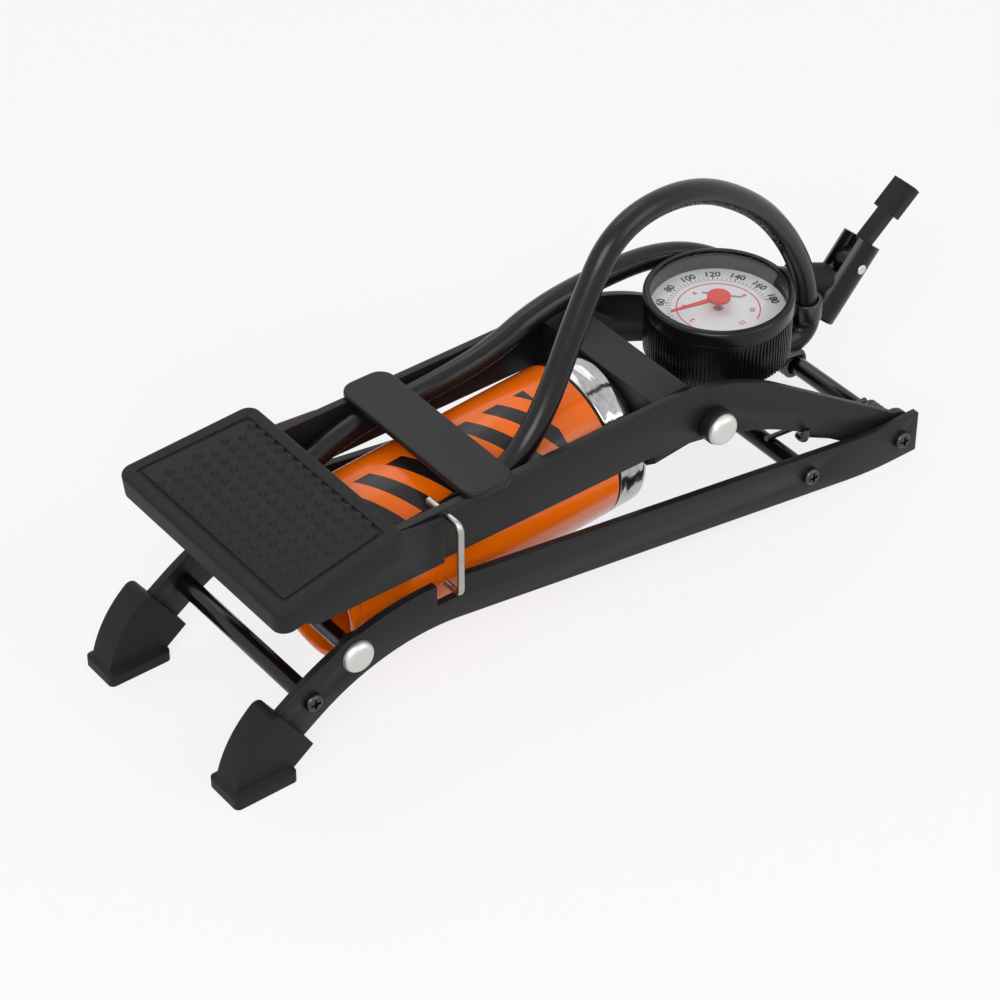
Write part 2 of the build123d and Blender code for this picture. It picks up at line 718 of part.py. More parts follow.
# outlet block behind the yoke, with a boss for the gauge
wall_face = head_end + yoke_thickness
wall_point = front_pivot + barrel_way * wall_face + barrel_up * outlet_drop
gauge_x = hinge_x - gauge_reach
with BuildPart() as outlet_block:
    with BuildSketch(Plane(origin=(hinge_x - outlet_end_reach, 0, outlet_height), x_dir=(0, 1, 0),
                           z_dir=(-1, 0, 0))):
        Circle(outlet_radius)
    extrude(amount=hinge_x - outlet_end_reach - wall_point.X + outlet_radius)
    with BuildSketch(Plane.XY.offset(outlet_height)):
        with Locations((gauge_x, 0)):
            RectangleRounded(outlet_boss, outlet_boss, 2)
    extrude(amount=outlet_boss_top - outlet_height)
    with BuildSketch(barrel_plane(wall_face)):
        Rectangle(base_width, base_width)
    extrude(amount=-2 * outlet_radius, mode=Mode.SUBTRACT)
    with BuildSketch(barrel_plane(wall_face)):
        with Locations((0, outlet_drop)):
            Circle(outlet_spigot)
    extrude(amount=-yoke_thickness - head_spigot)
    with BuildSketch(barrel_plane(wall_face - yoke_thickness - head_spigot)):
        with Locations((0, outlet_drop)):
            Circle(outlet_bore / 2)
    extrude(amount=2 * head_spigot, mode=Mode.SUBTRACT)
    with BuildSketch(Plane(origin=(hinge_x - outlet_end_reach, 0, outlet_height), x_dir=(0, 1, 0),
                           z_dir=(-1, 0, 0))):
        Circle(outlet_bore / 2)
    extrude(amount=hinge_x - outlet_end_reach - wall_point.X, mode=Mode.SUBTRACT)
    with BuildSketch(Plane.XY.offset(outlet_height)):
        with Locations((gauge_x, 0)):
            Circle(stem_radius - 1 + press_gap)
    extrude(amount=outlet_boss_top - outlet_height, mode=Mode.SUBTRACT)
save(outlet_block, "outlet_block")

# elbow that turns the air up into the hose, with a barb inside the hose
elbow_x = hinge_x - elbow_reach
elbow_top = outlet_height + elbow_bend_radius
with BuildPart() as hose_elbow:
    with BuildLine() as elbow_line:
        FilletPolyline(at(outlet_end_reach, outlet_height), at(elbow_reach, outlet_height),
                       at(elbow_reach, elbow_top + 0.01), radius=elbow_bend_radius)
    elbow_path = Plane.XZ * elbow_line.line
    for radius, mode in ((elbow_radius, Mode.ADD), (outlet_bore / 2, Mode.SUBTRACT)):
        with BuildSketch(Plane(origin=(hinge_x - outlet_end_reach, 0, outlet_height), x_dir=(0, 1, 0),
                               z_dir=(1, 0, 0))):
            Circle(radius)
        sweep(path=elbow_path, mode=mode)
    with BuildSketch(Plane.XY.offset(elbow_top + 0.01)):
        with Locations((elbow_x, 0)):
            Circle(hose_bore / 2 - press_gap)
            Circle(hose_bore / 2 - 1, mode=Mode.SUBTRACT)
    extrude(amount=barb_length)
save(hose_elbow, "hose_elbow")

hose_foot = elbow_top + 0.01 + press_gap
with BuildPart() as hose_ferrule:
    with BuildSketch(Plane.XY.offset(hose_foot)):
        with Locations((elbow_x, 0)):
            Circle(hose_diameter / 2 + ferrule_wall)
            Circle(hose_diameter / 2 + press_gap, mode=Mode.SUBTRACT)
    extrude(amount=ferrule_length)
save(hose_ferrule, "hose_ferrule")


# ================================================================ gauge
def gauge_disc(height, outer, inner, length, mode=Mode.ADD):
    """Upright disc or ring on the axis of the gauge."""
    with BuildSketch(Plane.XY.offset(height)) as outline:
        with Locations((gauge_x, 0)):
            Circle(outer)
            if inner:
                Circle(inner, mode=Mode.SUBTRACT)
    extrude(outline.sketch, amount=length, mode=mode)


stem_top = bourdon_height - bourdon_tube_radius
with BuildPart() as gauge_stem:
    gauge_disc(outlet_height + 3, stem_radius - 1, outlet_bore / 2 - 0.5, outlet_boss_top - outlet_height - 3)
    with BuildSketch(Plane.XY.offset(outlet_boss_top)):
        with Locations((gauge_x, 0)):
            RegularPolygon(stem_flats / 2, 6, major_radius=False)
            Circle(outlet_bore / 2 - 0.5, mode=Mode.SUBTRACT)
    extrude(amount=case_base - outlet_boss_top)
    gauge_disc(case_base, stem_radius, outlet_bore / 2 - 0.5, stem_top - case_base)
    # bar that carries the fixed end of the curved tube
    with BuildSketch(Plane.XY.offset(stem_top)):
        with Locations((gauge_x, -(stem_radius - 1 + bourdon_radius) / 2 - 0.5)):
            Rectangle(2 * bourdon_tube_radius, bourdon_radius - stem_radius + 3)
    extrude(amount=-bourdon_bar_height)
save(gauge_stem, "gauge_stem")

case_inner = case_diameter / 2 - case_wall
with BuildPart() as gauge_case:
    with BuildSketch(Plane.XY.offset(case_base)):
        with Locations((gauge_x, 0)):
            Circle(case_diameter / 2 - 1.2)
    with BuildSketch(Plane.XY.offset(case_top)):
        with Locations((gauge_x, 0)):
            Circle(case_diameter / 2)
    loft()
    gauge_disc(case_base + case_wall, case_inner - dial_ledge, 0, case_top - case_base, Mode.SUBTRACT)
    gauge_disc(dial_level, case_inner, 0, case_top - dial_level, Mode.SUBTRACT)
    gauge_disc(case_base, stem_radius + press_gap, 0, case_wall, Mode.SUBTRACT)
save(gauge_case, "gauge_case")

window = window_diameter / 2
lens_seat = gauge_top - lens_depth - lens_thickness
with BuildPart() as gauge_bezel:
    gauge_disc(case_top, gauge_diameter / 2, window, gauge_top - case_top)
    fillet(gauge_bezel.faces().sort_by(Axis.Z)[-1].edges().sort_by(SortBy.LENGTH)[-1], 1.5)
    gauge_disc(lens_seat, window + 1, 0, lens_thickness, Mode.SUBTRACT)
save(gauge_bezel, "gauge_bezel")

with BuildPart() as gauge_lens:
    gauge_disc(lens_seat, window + 1 - press_gap, 0, lens_thickness - press_gap)
save(gauge_lens, "gauge_lens")

with BuildPart() as gauge_dial:
    gauge_disc(dial_level, case_inner - press_gap, 2 * spindle_radius, dial_thickness)
save(gauge_dial, "gauge_dial")

# plate on two posts that carries the spindle of the needle
post_x = movement_radius - 2.5
with BuildPart() as gauge_movement:
    gauge_disc(movement_height, movement_radius, spindle_radius + pin_fit, movement_plate)
    with BuildSketch(Plane.XY.offset(case_base + case_wall)):
        with Locations((gauge_x - post_x, 0), (gauge_x + post_x, 0)):
            Circle(2)
    extrude(amount=movement_height - case_base - case_wall)
save(gauge_movement, "gauge_movement")

# curved tube that straightens with the pressure, fed by the stem
with BuildPart() as bourdon_tube:
    with BuildLine(Plane(origin=(gauge_x, 0, bourdon_height))) as bourdon_line:
        CenterArc((0, 0), bourdon_radius, -90, bourdon_arc)
    with BuildSketch(Plane(origin=bourdon_line.line @ 0, z_dir=bourdon_line.line % 0)):
        Circle(bourdon_tube_radius)
    sweep()
save(bourdon_tube, "bourdon_tube")

needle_plane = Plane(origin=(gauge_x, 0, needle_height),
                     x_dir=(cos(radians(needle_angle)), sin(radians(needle_angle)), 0), z_dir=(0, 0, 1))
with BuildPart() as gauge_needle:
    with BuildSketch(needle_plane):
        with BuildLine():
            Polyline((-needle_tail, -needle_width * 0.8), (-needle_tail, needle_width * 0.8),
                     (needle_length, needle_width / 4), (needle_length, -needle_width / 4), close=True)
        make_face()
        Circle(hub_radius)
    extrude(amount=needle_sheet)
    with BuildSketch(needle_plane):
        Circle(hub_radius)
    extrude(amount=hub_length)
    with BuildSketch(needle_plane):
        Circle(spindle_radius)
    extrude(amount=movement_height - needle_height - 0.5)
save(gauge_needle, "gauge_needle")


# ================================================================ piston
piston_end = head_start - head_spigot - piston_rest_gap
piston_start = piston_end - piston_length
bore_radius = barrel_bore / 2
with BuildPart() as piston_rod:
    with BuildSketch(Plane(origin=front_pivot + Vector(0, rod_eye_width / 2, 0), x_dir=(1, 0, 0),
                           z_dir=(0, -1, 0))):
        Circle(rod_eye_radius)
    extrude(amount=rod_eye_width)
    ring(barrel_plane(0), rod_diameter / 2, 0, piston_end - piston_nut_height + 2)
    with BuildSketch(Plane(origin=front_pivot + Vector(0, rod_eye_width / 2, 0), x_dir=(1, 0, 0),
                           z_dir=(0, -1, 0))):
        Circle(cross_pin_diameter / 2 + press_gap)
    extrude(amount=rod_eye_width, mode=Mode.SUBTRACT)
save(piston_rod, "piston_rod")

# the nut sits in a pocket of the piston that faces the head
with BuildPart() as piston_head:
    ring(barrel_plane(piston_start), bore_radius - piston_fit, rod_diameter / 2 + press_gap, piston_length)
    with BuildSketch(barrel_plane(piston_end)):
        Circle(piston_nut_size / 2 + 2)
    extrude(amount=-piston_nut_height - 0.5, mode=Mode.SUBTRACT)
    # seat of the cup
    with BuildSketch(barrel_plane(piston_start)):
        Circle(bore_radius)
        Circle(bore_radius - 2 * cup_wall, mode=Mode.SUBTRACT)
    extrude(amount=cup_length, mode=Mode.SUBTRACT)
save(piston_head, "piston_head")

with BuildPart() as piston_cup:
    ring(barrel_plane(piston_start), bore_radius - cup_fit, bore_radius - 2 * cup_wall + press_gap,
         cup_length - press_gap)
save(piston_cup, "piston_cup")

with BuildPart() as piston_nut:
    with BuildSketch(barrel_plane(piston_end - piston_nut_height - 0.5 + press_gap)):
        RegularPolygon(piston_nut_size / 2, 6, major_radius=False)
        Circle(rod_diameter / 2 + press_gap, mode=Mode.SUBTRACT)
    extrude(amount=piston_nut_height)
save(piston_nut, "piston_nut")

with BuildPart() as rod_end_pin:
    with BuildSketch(Plane(origin=front_pivot + Vector(0, rail_inner - piston_fit, 0), x_dir=(1, 0, 0),
                           z_dir=(0, -1, 0))):
        Circle(cross_pin_diameter / 2)
    extrude(amount=2 * (rail_inner - piston_fit))
save(rod_end_pin, "rod_end_pin")


# ================================================================ chuck
chuck_way = Vector(sin(radians(chuck_lean)), 0, cos(radians(chuck_lean)))
chuck_mouth = Vector(hinge_x - chuck_mouth_reach, chuck_side, chuck_mouth_height)


def chuck_plane(station):
    """Plane square to the chuck axis, facing its top."""
    return Plane(origin=chuck_mouth + chuck_way * station, x_dir=(chuck_way.Z, 0, -chuck_way.X),
                 z_dir=chuck_way)


chuck_middle = chuck_mouth + chuck_way * (chuck_length * 0.47)
neck_tip = Vector(hinge_x - neck_reach, neck_side, neck_height)
neck_way = (chuck_middle - neck_tip).normalized()
lever_pin_place = chuck_mouth + chuck_way * (chuck_length - lever_pin_depth)

with BuildPart() as chuck_body:
    ring(chuck_plane(0), chuck_radius, chuck_bore / 2, chuck_length)
    fillet(chuck_body.faces().sort_by(Axis.Z)[0].edges().sort_by(SortBy.LENGTH)[-1], 1)
    with BuildSketch(chuck_plane(chuck_length - chuck_slot_depth)):
        Rectangle(3 * chuck_radius, chuck_slot_width)
    extrude(amount=chuck_slot_depth, mode=Mode.SUBTRACT)
    with BuildSketch(chuck_plane(0)):
        Circle(chuck_bore / 2 + 1.5)
    extrude(amount=chuck_seal_length, mode=Mode.SUBTRACT)
    with BuildSketch(Plane(origin=lever_pin_place + Vector(0, chuck_radius, 0), z_dir=(0, -1, 0))):
        Circle(lever_pin_diameter / 2 + press_gap)
    extrude(amount=2 * chuck_radius, mode=Mode.SUBTRACT)
save(chuck_body, "chuck_body")

with BuildPart() as chuck_seal:
    ring(chuck_plane(0), chuck_bore / 2 + 1.5 - press_gap, chuck_bore / 2 - 1, chuck_seal_length - press_gap)
save(chuck_seal, "chuck_seal")

hose_insert = 7.0
with BuildPart() as chuck_neck:
    with BuildSketch(Plane(origin=neck_tip, z_dir=neck_way)):
        Circle(chuck_neck_radius)
    extrude(amount=(chuck_middle - neck_tip).length)
    with BuildSketch(chuck_plane(0)):
        Circle(chuck_radius + press_gap)
    extrude(amount=chuck_length, mode=Mode.SUBTRACT)
    with BuildSketch(Plane(origin=neck_tip, z_dir=neck_way)):
        Circle(hose_diameter / 2 + press_gap)
    extrude(amount=hose_insert, mode=Mode.SUBTRACT)
save(chuck_neck, "chuck_neck")

with BuildPart() as chuck_lever_pin:
    with BuildSketch(Plane(origin=lever_pin_place + Vector(0, chuck_radius, 0), z_dir=(0, -1, 0))):
        Circle(lever_pin_diameter / 2)
    extrude(amount=2 * chuck_radius)
save(chuck_lever_pin, "chuck_lever_pin")

lever_way = Vector(sin(radians(lever_lean)), 0, cos(radians(lever_lean)))
lever_tip = lever_pin_place + lever_way * lever_length
paddle_root = lever_tip - lever_way * lever_paddle_length
with BuildPart() as chuck_lever:
    with BuildSketch(side_plane(chuck_side + lever_thickness / 2)):
        with BuildLine():
            Line((lever_pin_place.X, lever_pin_place.Z), (lever_tip.X, lever_tip.Z))
        trace(line_width=lever_depth)
        with Locations((lever_pin_place.X, lever_pin_place.Z)):
            Circle(lever_cam_radius)
            Circle(lever_pin_diameter / 2 + pin_fit, mode=Mode.SUBTRACT)
    extrude(amount=lever_thickness)
    with BuildSketch(side_plane(chuck_side + lever_paddle_width / 2)):
        with BuildLine():
            Line((paddle_root.X, paddle_root.Z), (lever_tip.X, lever_tip.Z))
        trace(line_width=lever_depth * 0.8)
    extrude(amount=lever_paddle_width)
save(chuck_lever, "chuck_lever")


# ================================================================ hose
# reach from the hinge, side and height of the corners of the centre line
hose_corners = [
    (15, 0, 62), (27, -2, 88), (48, -5, 114), (82, -10, 137), (119, -15.5, 138.5), (136, -18, 112),
    (153, -20.5, 78), (172, -24, 64), (205, -26.5, 62), (228, -26, 60.5), (254, -23, 56), (266, 0, 52.5), (254, 23, 55),
    (230, 26, 59.5), (215, 26.4, 60.8), (206, 26.8, 64.5), (190, 26.8, 68), (170, 26.8, 68), (140, 26.8, 71),
    (118, 28, 79), (90, 31, 79), (60, 33, 76.5), (40, 27, 71),
]
hose_route = ([Vector(elbow_x, 0, hose_foot)]
              + [Vector(hinge_x - reach, side, height) for reach, side, height in hose_corners]
              + [neck_tip - neck_way * 16, neck_tip + neck_way * (hose_insert - press_gap)])


def bend_radii(route):
    """Largest even bends that the straight runs of a route leave room for."""
    radii = []
    for before, corner, after in zip(route, route[1:], route[2:]):
        arriving, leaving = corner - before, after - corner
        half_turn = acos_of(max(-1.0, min(1.0, arriving.normalized().dot(leaving.normalized())))) / 2
        radii.append(0.45 * min(arriving.length, leaving.length) / tan(half_turn))
    return radii


hose_radii = bend_radii(hose_route)
with BuildPart() as hose:
    with BuildLine() as hose_line:
        FilletPolyline(*hose_route, radius=hose_radii)
    with BuildSketch(Plane(origin=hose_line.line @ 0, z_dir=hose_line.line % 0)):
        Circle(hose_diameter / 2)
        Circle(hose_bore / 2, mode=Mode.SUBTRACT)
    sweep()
save(hose, "hose")
hose_length = sum(edge.length for edge in hose_line.line.edges())
print("hose length", round(hose_length, 1), "tightest bend", round(min(hose_radii), 1))
print("section by length", round(hose_length * pi * (hose_diameter ** 2 - hose_bore ** 2) / 4),
      "volume", round(hose.part.volume))
print("bends", [round(radius) for radius in hose_radii])
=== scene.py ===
"""Looks of the folded foot pump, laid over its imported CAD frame.

Metres, in the frame of the CAD model: +X to the hinge end, +Y to the left side, +Z up.
"""
import json
import logging
from dataclasses import dataclass
from enum import Enum
from math import atan2, cos, pi, radians, sin, tan
from typing import List, Optional, Sequence, Tuple, Union

import bmesh
import bpy
from mathutils import Matrix, Vector


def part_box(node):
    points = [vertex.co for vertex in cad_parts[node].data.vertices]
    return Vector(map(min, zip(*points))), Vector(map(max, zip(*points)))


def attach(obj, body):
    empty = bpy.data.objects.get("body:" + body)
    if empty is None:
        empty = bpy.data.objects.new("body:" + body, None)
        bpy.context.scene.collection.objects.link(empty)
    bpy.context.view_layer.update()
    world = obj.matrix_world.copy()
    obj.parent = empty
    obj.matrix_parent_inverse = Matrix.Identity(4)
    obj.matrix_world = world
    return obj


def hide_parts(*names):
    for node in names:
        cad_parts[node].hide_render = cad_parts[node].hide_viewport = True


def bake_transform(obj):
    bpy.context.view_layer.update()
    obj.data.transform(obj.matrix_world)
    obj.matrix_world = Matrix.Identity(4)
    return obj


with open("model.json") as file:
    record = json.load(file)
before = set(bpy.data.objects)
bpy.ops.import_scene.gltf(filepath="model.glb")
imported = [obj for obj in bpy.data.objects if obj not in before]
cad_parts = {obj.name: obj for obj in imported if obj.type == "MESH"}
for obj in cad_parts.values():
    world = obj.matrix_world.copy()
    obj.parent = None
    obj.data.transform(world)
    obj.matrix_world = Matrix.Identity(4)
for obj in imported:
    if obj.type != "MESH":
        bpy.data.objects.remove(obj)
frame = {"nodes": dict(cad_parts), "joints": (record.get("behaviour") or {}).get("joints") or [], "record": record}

LOG = logging.getLogger("foot_pump")
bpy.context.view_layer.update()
Colour = Tuple[float, float, float]
Triple = Tuple[float, float, float]
Number = Union[float, "Signal"]

JOINTS = {joint["name"]: joint for joint in frame["joints"]}
BODY_OF = {node: body for body, nodes in frame["record"]["behaviour"]["bodies"].items() for node in nodes}


# ------------------------------------------------------------------ shader maths
class Signal:
    """Output of a shader node that takes part in sums."""

    def __init__(self, graph: "Graph", socket: bpy.types.NodeSocket) -> None:
        """Keep the socket and the graph that it belongs to."""
        self.graph = graph
        self.socket = socket

    def _maths(self, operation: str, *terms: Number) -> "Signal":
        """Add one Math node.

        Args:
            operation: Name of the node's operation.
            terms: Its inputs, in order.

        Returns:
            The node's output.
        """
        return self.graph.node("ShaderNodeMath", {"operation": operation}, dict(enumerate(terms)))

    def __add__(self, other: Number) -> "Signal":
        """Sum."""
        return self._maths("ADD", self, other)

    __radd__ = __add__

    def __sub__(self, other: Number) -> "Signal":
        """Difference."""
        return self._maths("SUBTRACT", self, other)

    def __rsub__(self, other: Number) -> "Signal":
        """Reflected difference."""
        return self._maths("SUBTRACT", other, self)

    def __mul__(self, other: Number) -> "Signal":
        """Product."""
        return self._maths("MULTIPLY", self, other)

    __rmul__ = __mul__

    def __abs__(self) -> "Signal":
        """Size without sign."""
        return self._maths("ABSOLUTE", self)

    def below(self, limit: Number) -> "Signal":
        """1 where this is under the limit, else 0."""
        return self._maths("LESS_THAN", self, limit)

    def above(self, limit: Number) -> "Signal":
        """1 where this is over the limit, else 0."""
        return self._maths("GREATER_THAN", self, limit)

    def repeat(self, period: float) -> "Signal":
        """Remainder that starts again at each period."""
        return self._maths("WRAP", self, period, 0.0)


class Graph:
    """Node tree of a material or of the world."""

    def __init__(self, owner: Union[bpy.types.Material, bpy.types.World]) -> None:
        """Open the owner's node tree.

        Args:
            owner: Material or world to shade.
        """
        owner.use_nodes = True
        self.tree = owner.node_tree
        self.shader = self.tree.nodes.get("Principled BSDF")

    def node(self, kind: str, settings: Optional[dict] = None, inputs: Optional[dict] = None,
             output: Union[int, str] = 0) -> Signal:
        """Add any node.

        Args:
            kind: Type of the node.
            settings: Properties of the node, set first.
            inputs: Values or signals of its sockets, by name or place.
            output: Socket to return.

        Returns:
            The chosen output.
        """
        made = self.tree.nodes.new(kind)
        for key, value in (settings or {}).items():
            setattr(made, key, value)
        for key, value in (inputs or {}).items():
            self.join(made.inputs[key], value)
        return Signal(self, made.outputs[output])

    def join(self, socket: bpy.types.NodeSocket, value: Union[Number, Colour]) -> None:
        """Link a signal to a socket, or set a plain value on it.

        Args:
            socket: Socket to fill.
            value: What it gets.
        """
        if isinstance(value, Signal):
            self.tree.links.new(value.socket, socket)
        elif isinstance(value, tuple) and len(value) == 3 and socket.type == "RGBA":
            socket.default_value = (*value, 1.0)
        else:
            socket.default_value = value

    def feed(self, **inputs: Union[Number, Colour]) -> None:
        """Set inputs of the shader; an underscore in a name stands for a space."""
        for key, value in inputs.items():
            self.join(self.shader.inputs[key.replace("_", " ")], value)

    def place(self) -> Signal:
        """Position on the piece, in metres."""
        return self.node("ShaderNodeTexCoord", output="Object")

    def axis(self, letter: str) -> Signal:
        """One coordinate of the position."""
        return self.node("ShaderNodeSeparateXYZ", inputs={0: self.place()}, output=letter)

    def stretch(self, scale: Triple) -> Signal:
        """Position scaled along each axis."""
        return self.node("ShaderNodeMapping", {"vector_type": "POINT"}, {0: self.place(), "Scale": scale})

    def noise(self, scale: float, detail: float = 2.0, rough: float = 0.5,
              where: Optional[Signal] = None) -> Signal:
        """Cloudy noise from 0 to 1.

        Args:
            scale: Patches per metre.
            detail: Finer layers.
            rough: Strength of the finer layers.
            where: Position to use instead of the plain one.

        Returns:
            The noise.
        """
        inputs = {"Vector": where or self.place(), "Scale": scale, "Detail": detail, "Roughness": rough}
        return self.node("ShaderNodeTexNoise", None, inputs)

    def blend(self, first: Union[Signal, Colour], second: Union[Signal, Colour], share: Number) -> Signal:
        """Mix two colours.

        Args:
            first: Colour where the share is 0.
            second: Colour where the share is 1.
            share: Amount of the second colour.

        Returns:
            The mixed colour.
        """
        return self.node("ShaderNodeMix", {"data_type": "RGBA"}, {0: share, 6: first, 7: second}, output=2)

    def relief(self, height: Signal, depth: float, under: Optional[Signal] = None) -> Signal:
        """Bump from a height of 0 to 1.

        Args:
            height: Height of the surface.
            depth: Its full depth, in metres.
            under: Normal of a bump that lies under this one.

        Returns:
            The bent normal.
        """
        inputs = {"Height": height, "Distance": depth, "Strength": 1.0}
        if under is not None:
            inputs["Normal"] = under
        return self.node("ShaderNodeBump", None, inputs)


# ------------------------------------------------------------------ finishes
@dataclass(frozen=True)
class Finish:
    """Surface finish, made once as a material and then shared."""

    name: str

    def shade(self, graph: Graph) -> None:
        """Build the nodes of the finish.

        Args:
            graph: Node tree to fill.
        """
        raise NotImplementedError

    @property
    def material(self) -> bpy.types.Material:
        """The material, made on first use.

        Returns:
            The one material of this finish.
        """
        ready = bpy.data.materials.get(self.name)
        if ready is None:
            ready = bpy.data.materials.new(self.name)
            self.shade(Graph(ready))
        return ready


@dataclass(frozen=True)
class Coating(Finish):
    """Paint, plastic or rubber: a tone with patches, a grain and a fine relief."""

    tone: Colour
    patch_tone: Colour
    roughness: float = 0.5
    spread: float = 0.1
    patches: float = 60.0
    grain: float = 1800.0
    depth: float = 0.00004
    coat: float = 0.0
    specular: float = 0.5
    coat_roughness: float = 0.12

    def shade(self, graph: Graph) -> None:
        """Build the nodes of the coating.

        Args:
            graph: Node tree to fill.
        """
        cloud = graph.noise(self.patches, detail=4.0, rough=0.6)
        grain = graph.noise(self.grain)
        graph.feed(Base_Color=graph.blend(self.tone, self.patch_tone, cloud),
                   Roughness=(cloud - 0.5) * self.spread + (grain - 0.5) * self.spread + self.roughness,
                   Normal=graph.relief(grain, self.depth), Coat_Weight=self.coat,
                   Coat_Roughness=self.coat_roughness, Specular_IOR_Level=self.specular)


class Run(Enum):
    """Axis that a metal's marks run along, as marks per metre on each axis."""

    Y = (900.0, 20.0, 900.0)
    NONE = (400.0, 400.0, 400.0)


@dataclass(frozen=True)
class BareMetal(Finish):
    """Plated or turned metal with faint marks, and with a broad swell where it is thin."""

    tone: Colour
    dull_tone: Colour
    roughness: float = 0.25
    spread: float = 0.15
    run: Run = Run.NONE
    depth: float = 0.00001
    patches: float = 90.0
    swell: float = 0.0
    swells: Triple = (230.0, 32.0, 32.0)

    def shade(self, graph: Graph) -> None:
        """Build the nodes of the metal.

        Args:
            graph: Node tree to fill.
        """
        marks = graph.noise(1.0, detail=3.0, rough=0.6, where=graph.stretch(self.run.value))
        cloud = graph.noise(self.patches, detail=3.0)
        under = None
        if self.swell:
            broad = graph.noise(1.0, detail=1.0, where=graph.stretch(self.swells))
            under = graph.relief(broad, self.swell)
        graph.feed(Metallic=1.0, Base_Color=graph.blend(self.tone, self.dull_tone, cloud * marks * 2.0),
                   Roughness=(marks - 0.5) * self.spread + (cloud - 0.5) * self.spread + self.roughness,
                   Normal=graph.relief(marks, self.depth, under))


@dataclass(frozen=True)
class BarrelLacquer(Finish):
    """Gloss lacquer with a row of slanted dark bars along the upper side."""

    tone: Colour
    shade_tone: Colour
    bar_tone: Colour
    foot: Tuple[float, float]
    tilt: float
    radius: float
    first: float = 0.019
    last: float = 0.104
    pitch: float = 0.0135
    bar: float = 0.0068
    half_width: float = 0.0155
    centre_turn: float = radians(-24)
    slant: float = 0.55
    roughness: float = 0.2
    spread: float = 0.08
    bar_roughness: float = 0.15
    patches: float = 35.0
    peel: float = 900.0
    peel_depth: float = 0.000012
    coat: float = 0.2
    coat_roughness: float = 0.06
    specular: float = 0.25

    def shade(self, graph: Graph) -> None:
        """Build the nodes of the lacquer.

        Args:
            graph: Node tree to fill.
        """
        along_x, along_z = cos(self.tilt), sin(self.tilt)
        x = graph.axis("X") - self.foot[0]
        z = graph.axis("Z") - self.foot[1]
        station = x * along_x + z * along_z
        up = z * along_x - x * along_z
        turn = graph.node("ShaderNodeMath", {"operation": "ARCTAN2"}, {0: graph.axis("Y"), 1: up})
        arc = (turn - self.centre_turn) * self.radius
        slanted = (station + arc * self.slant).repeat(self.pitch)
        bars = slanted.below(self.bar) * abs(arc).below(self.half_width)
        bars = bars * station.above(self.first) * station.below(self.last)
        cloud = graph.noise(self.patches, detail=3.0)
        peel = graph.noise(self.peel, detail=1.0)
        lacquer = graph.blend(self.tone, self.shade_tone, cloud)
        graph.feed(Base_Color=graph.blend(lacquer, self.bar_tone, bars),
                   Roughness=(cloud - 0.5) * self.spread + bars * self.bar_roughness + self.roughness,
                   Normal=graph.relief(peel, self.peel_depth), Coat_Weight=self.coat,
                   Coat_Roughness=self.coat_roughness, Specular_IOR_Level=self.specular)


@dataclass(frozen=True)
class ClearPlastic(Finish):
    """Clear moulded lens with faint handling marks."""

    tone: Colour = (0.96, 0.97, 0.97)
    roughness: float = 0.01
    spread: float = 0.03
    patches: float = 120.0
    bending: float = 1.3

    def shade(self, graph: Graph) -> None:
        """Build the nodes of the lens.

        Args:
            graph: Node tree to fill.
        """
        cloud = graph.noise(self.patches, detail=3.0)
        graph.feed(Base_Color=self.tone, Roughness=cloud * self.spread + self.roughness,
                   Transmission_Weight=1.0, IOR=self.bending)


GLOSS = Coating("gloss_enamel", (0.005, 0.005, 0.0055), (0.003, 0.003, 0.0035), roughness=0.2,
                spread=0.08, patches=45.0, grain=1100.0, depth=0.00001, coat=0.15, specular=0.3)
POWDER = Coating("satin_powder_coat", (0.012, 0.011, 0.012), (0.008, 0.0075, 0.0085), roughness=0.42,
                 patches=45.0, grain=1500.0, depth=0.00003, specular=0.24)
RUBBER = Coating("moulded_rubber", (0.009, 0.0085, 0.0095), (0.014, 0.013, 0.015), roughness=0.6,
                 spread=0.12, patches=80.0, grain=2200.0, depth=0.00005, specular=0.2)
HOSE_RUBBER = Coating("hose_rubber", (0.004, 0.004, 0.005), (0.008, 0.008, 0.009), roughness=0.26,
                      patches=50.0, grain=1400.0, depth=0.00002, specular=0.3)
PLASTIC = Coating("moulded_plastic", (0.004, 0.004, 0.005), (0.007, 0.007, 0.008), roughness=0.26,
                  grain=2400.0, depth=0.00002, specular=0.26)
PISTON = Coating("natural_plastic", (0.70, 0.69, 0.64), (0.62, 0.61, 0.56), roughness=0.45)
DIAL = Coating("dial_enamel", (0.86, 0.85, 0.87), (0.80, 0.79, 0.82), roughness=0.4, spread=0.05,
               patches=150.0, grain=900.0, depth=0.000004)
BLACK_INK = Coating("black_ink", (0.02, 0.02, 0.025), (0.03, 0.03, 0.035), spread=0.05, patches=300.0)
RED_INK = Coating("red_ink", (0.72, 0.06, 0.07), (0.65, 0.05, 0.06), spread=0.05, patches=300.0)
# Grey ink for the dial's arc and dot, also used for a bar that is a painted shadow of the needle's tail.
GREY_INK_AND_PAINTED_SHADOW = Coating("grey_ink_and_painted_shadow", (0.24, 0.22, 0.23), (0.30, 0.28, 0.29), spread=0.05, patches=300.0)
NEEDLE_RED = Coating("needle_red", (0.70, 0.03, 0.05), (0.60, 0.02, 0.04), roughness=0.35, spread=0.08,
                     patches=200.0)
CHROME = BareMetal("polished_chrome", (0.60, 0.58, 0.58), (0.30, 0.29, 0.30), roughness=0.12, spread=0.12,
                   run=Run.Y, depth=0.00003, swell=0.0011)
ZINC = BareMetal("zinc_plate", (0.78, 0.78, 0.75), (0.58, 0.58, 0.55), roughness=0.26, spread=0.2)
WIRE = BareMetal("drawn_wire", (0.50, 0.48, 0.45), (0.34, 0.32, 0.30), roughness=0.3, spread=0.2)
BLACK_STEEL = BareMetal("blackened_steel", (0.09, 0.09, 0.10), (0.05, 0.05, 0.055), roughness=0.32,
                        spread=0.2)
BRASS = BareMetal("turned_brass", (0.72, 0.53, 0.24), (0.58, 0.40, 0.17), roughness=0.28)
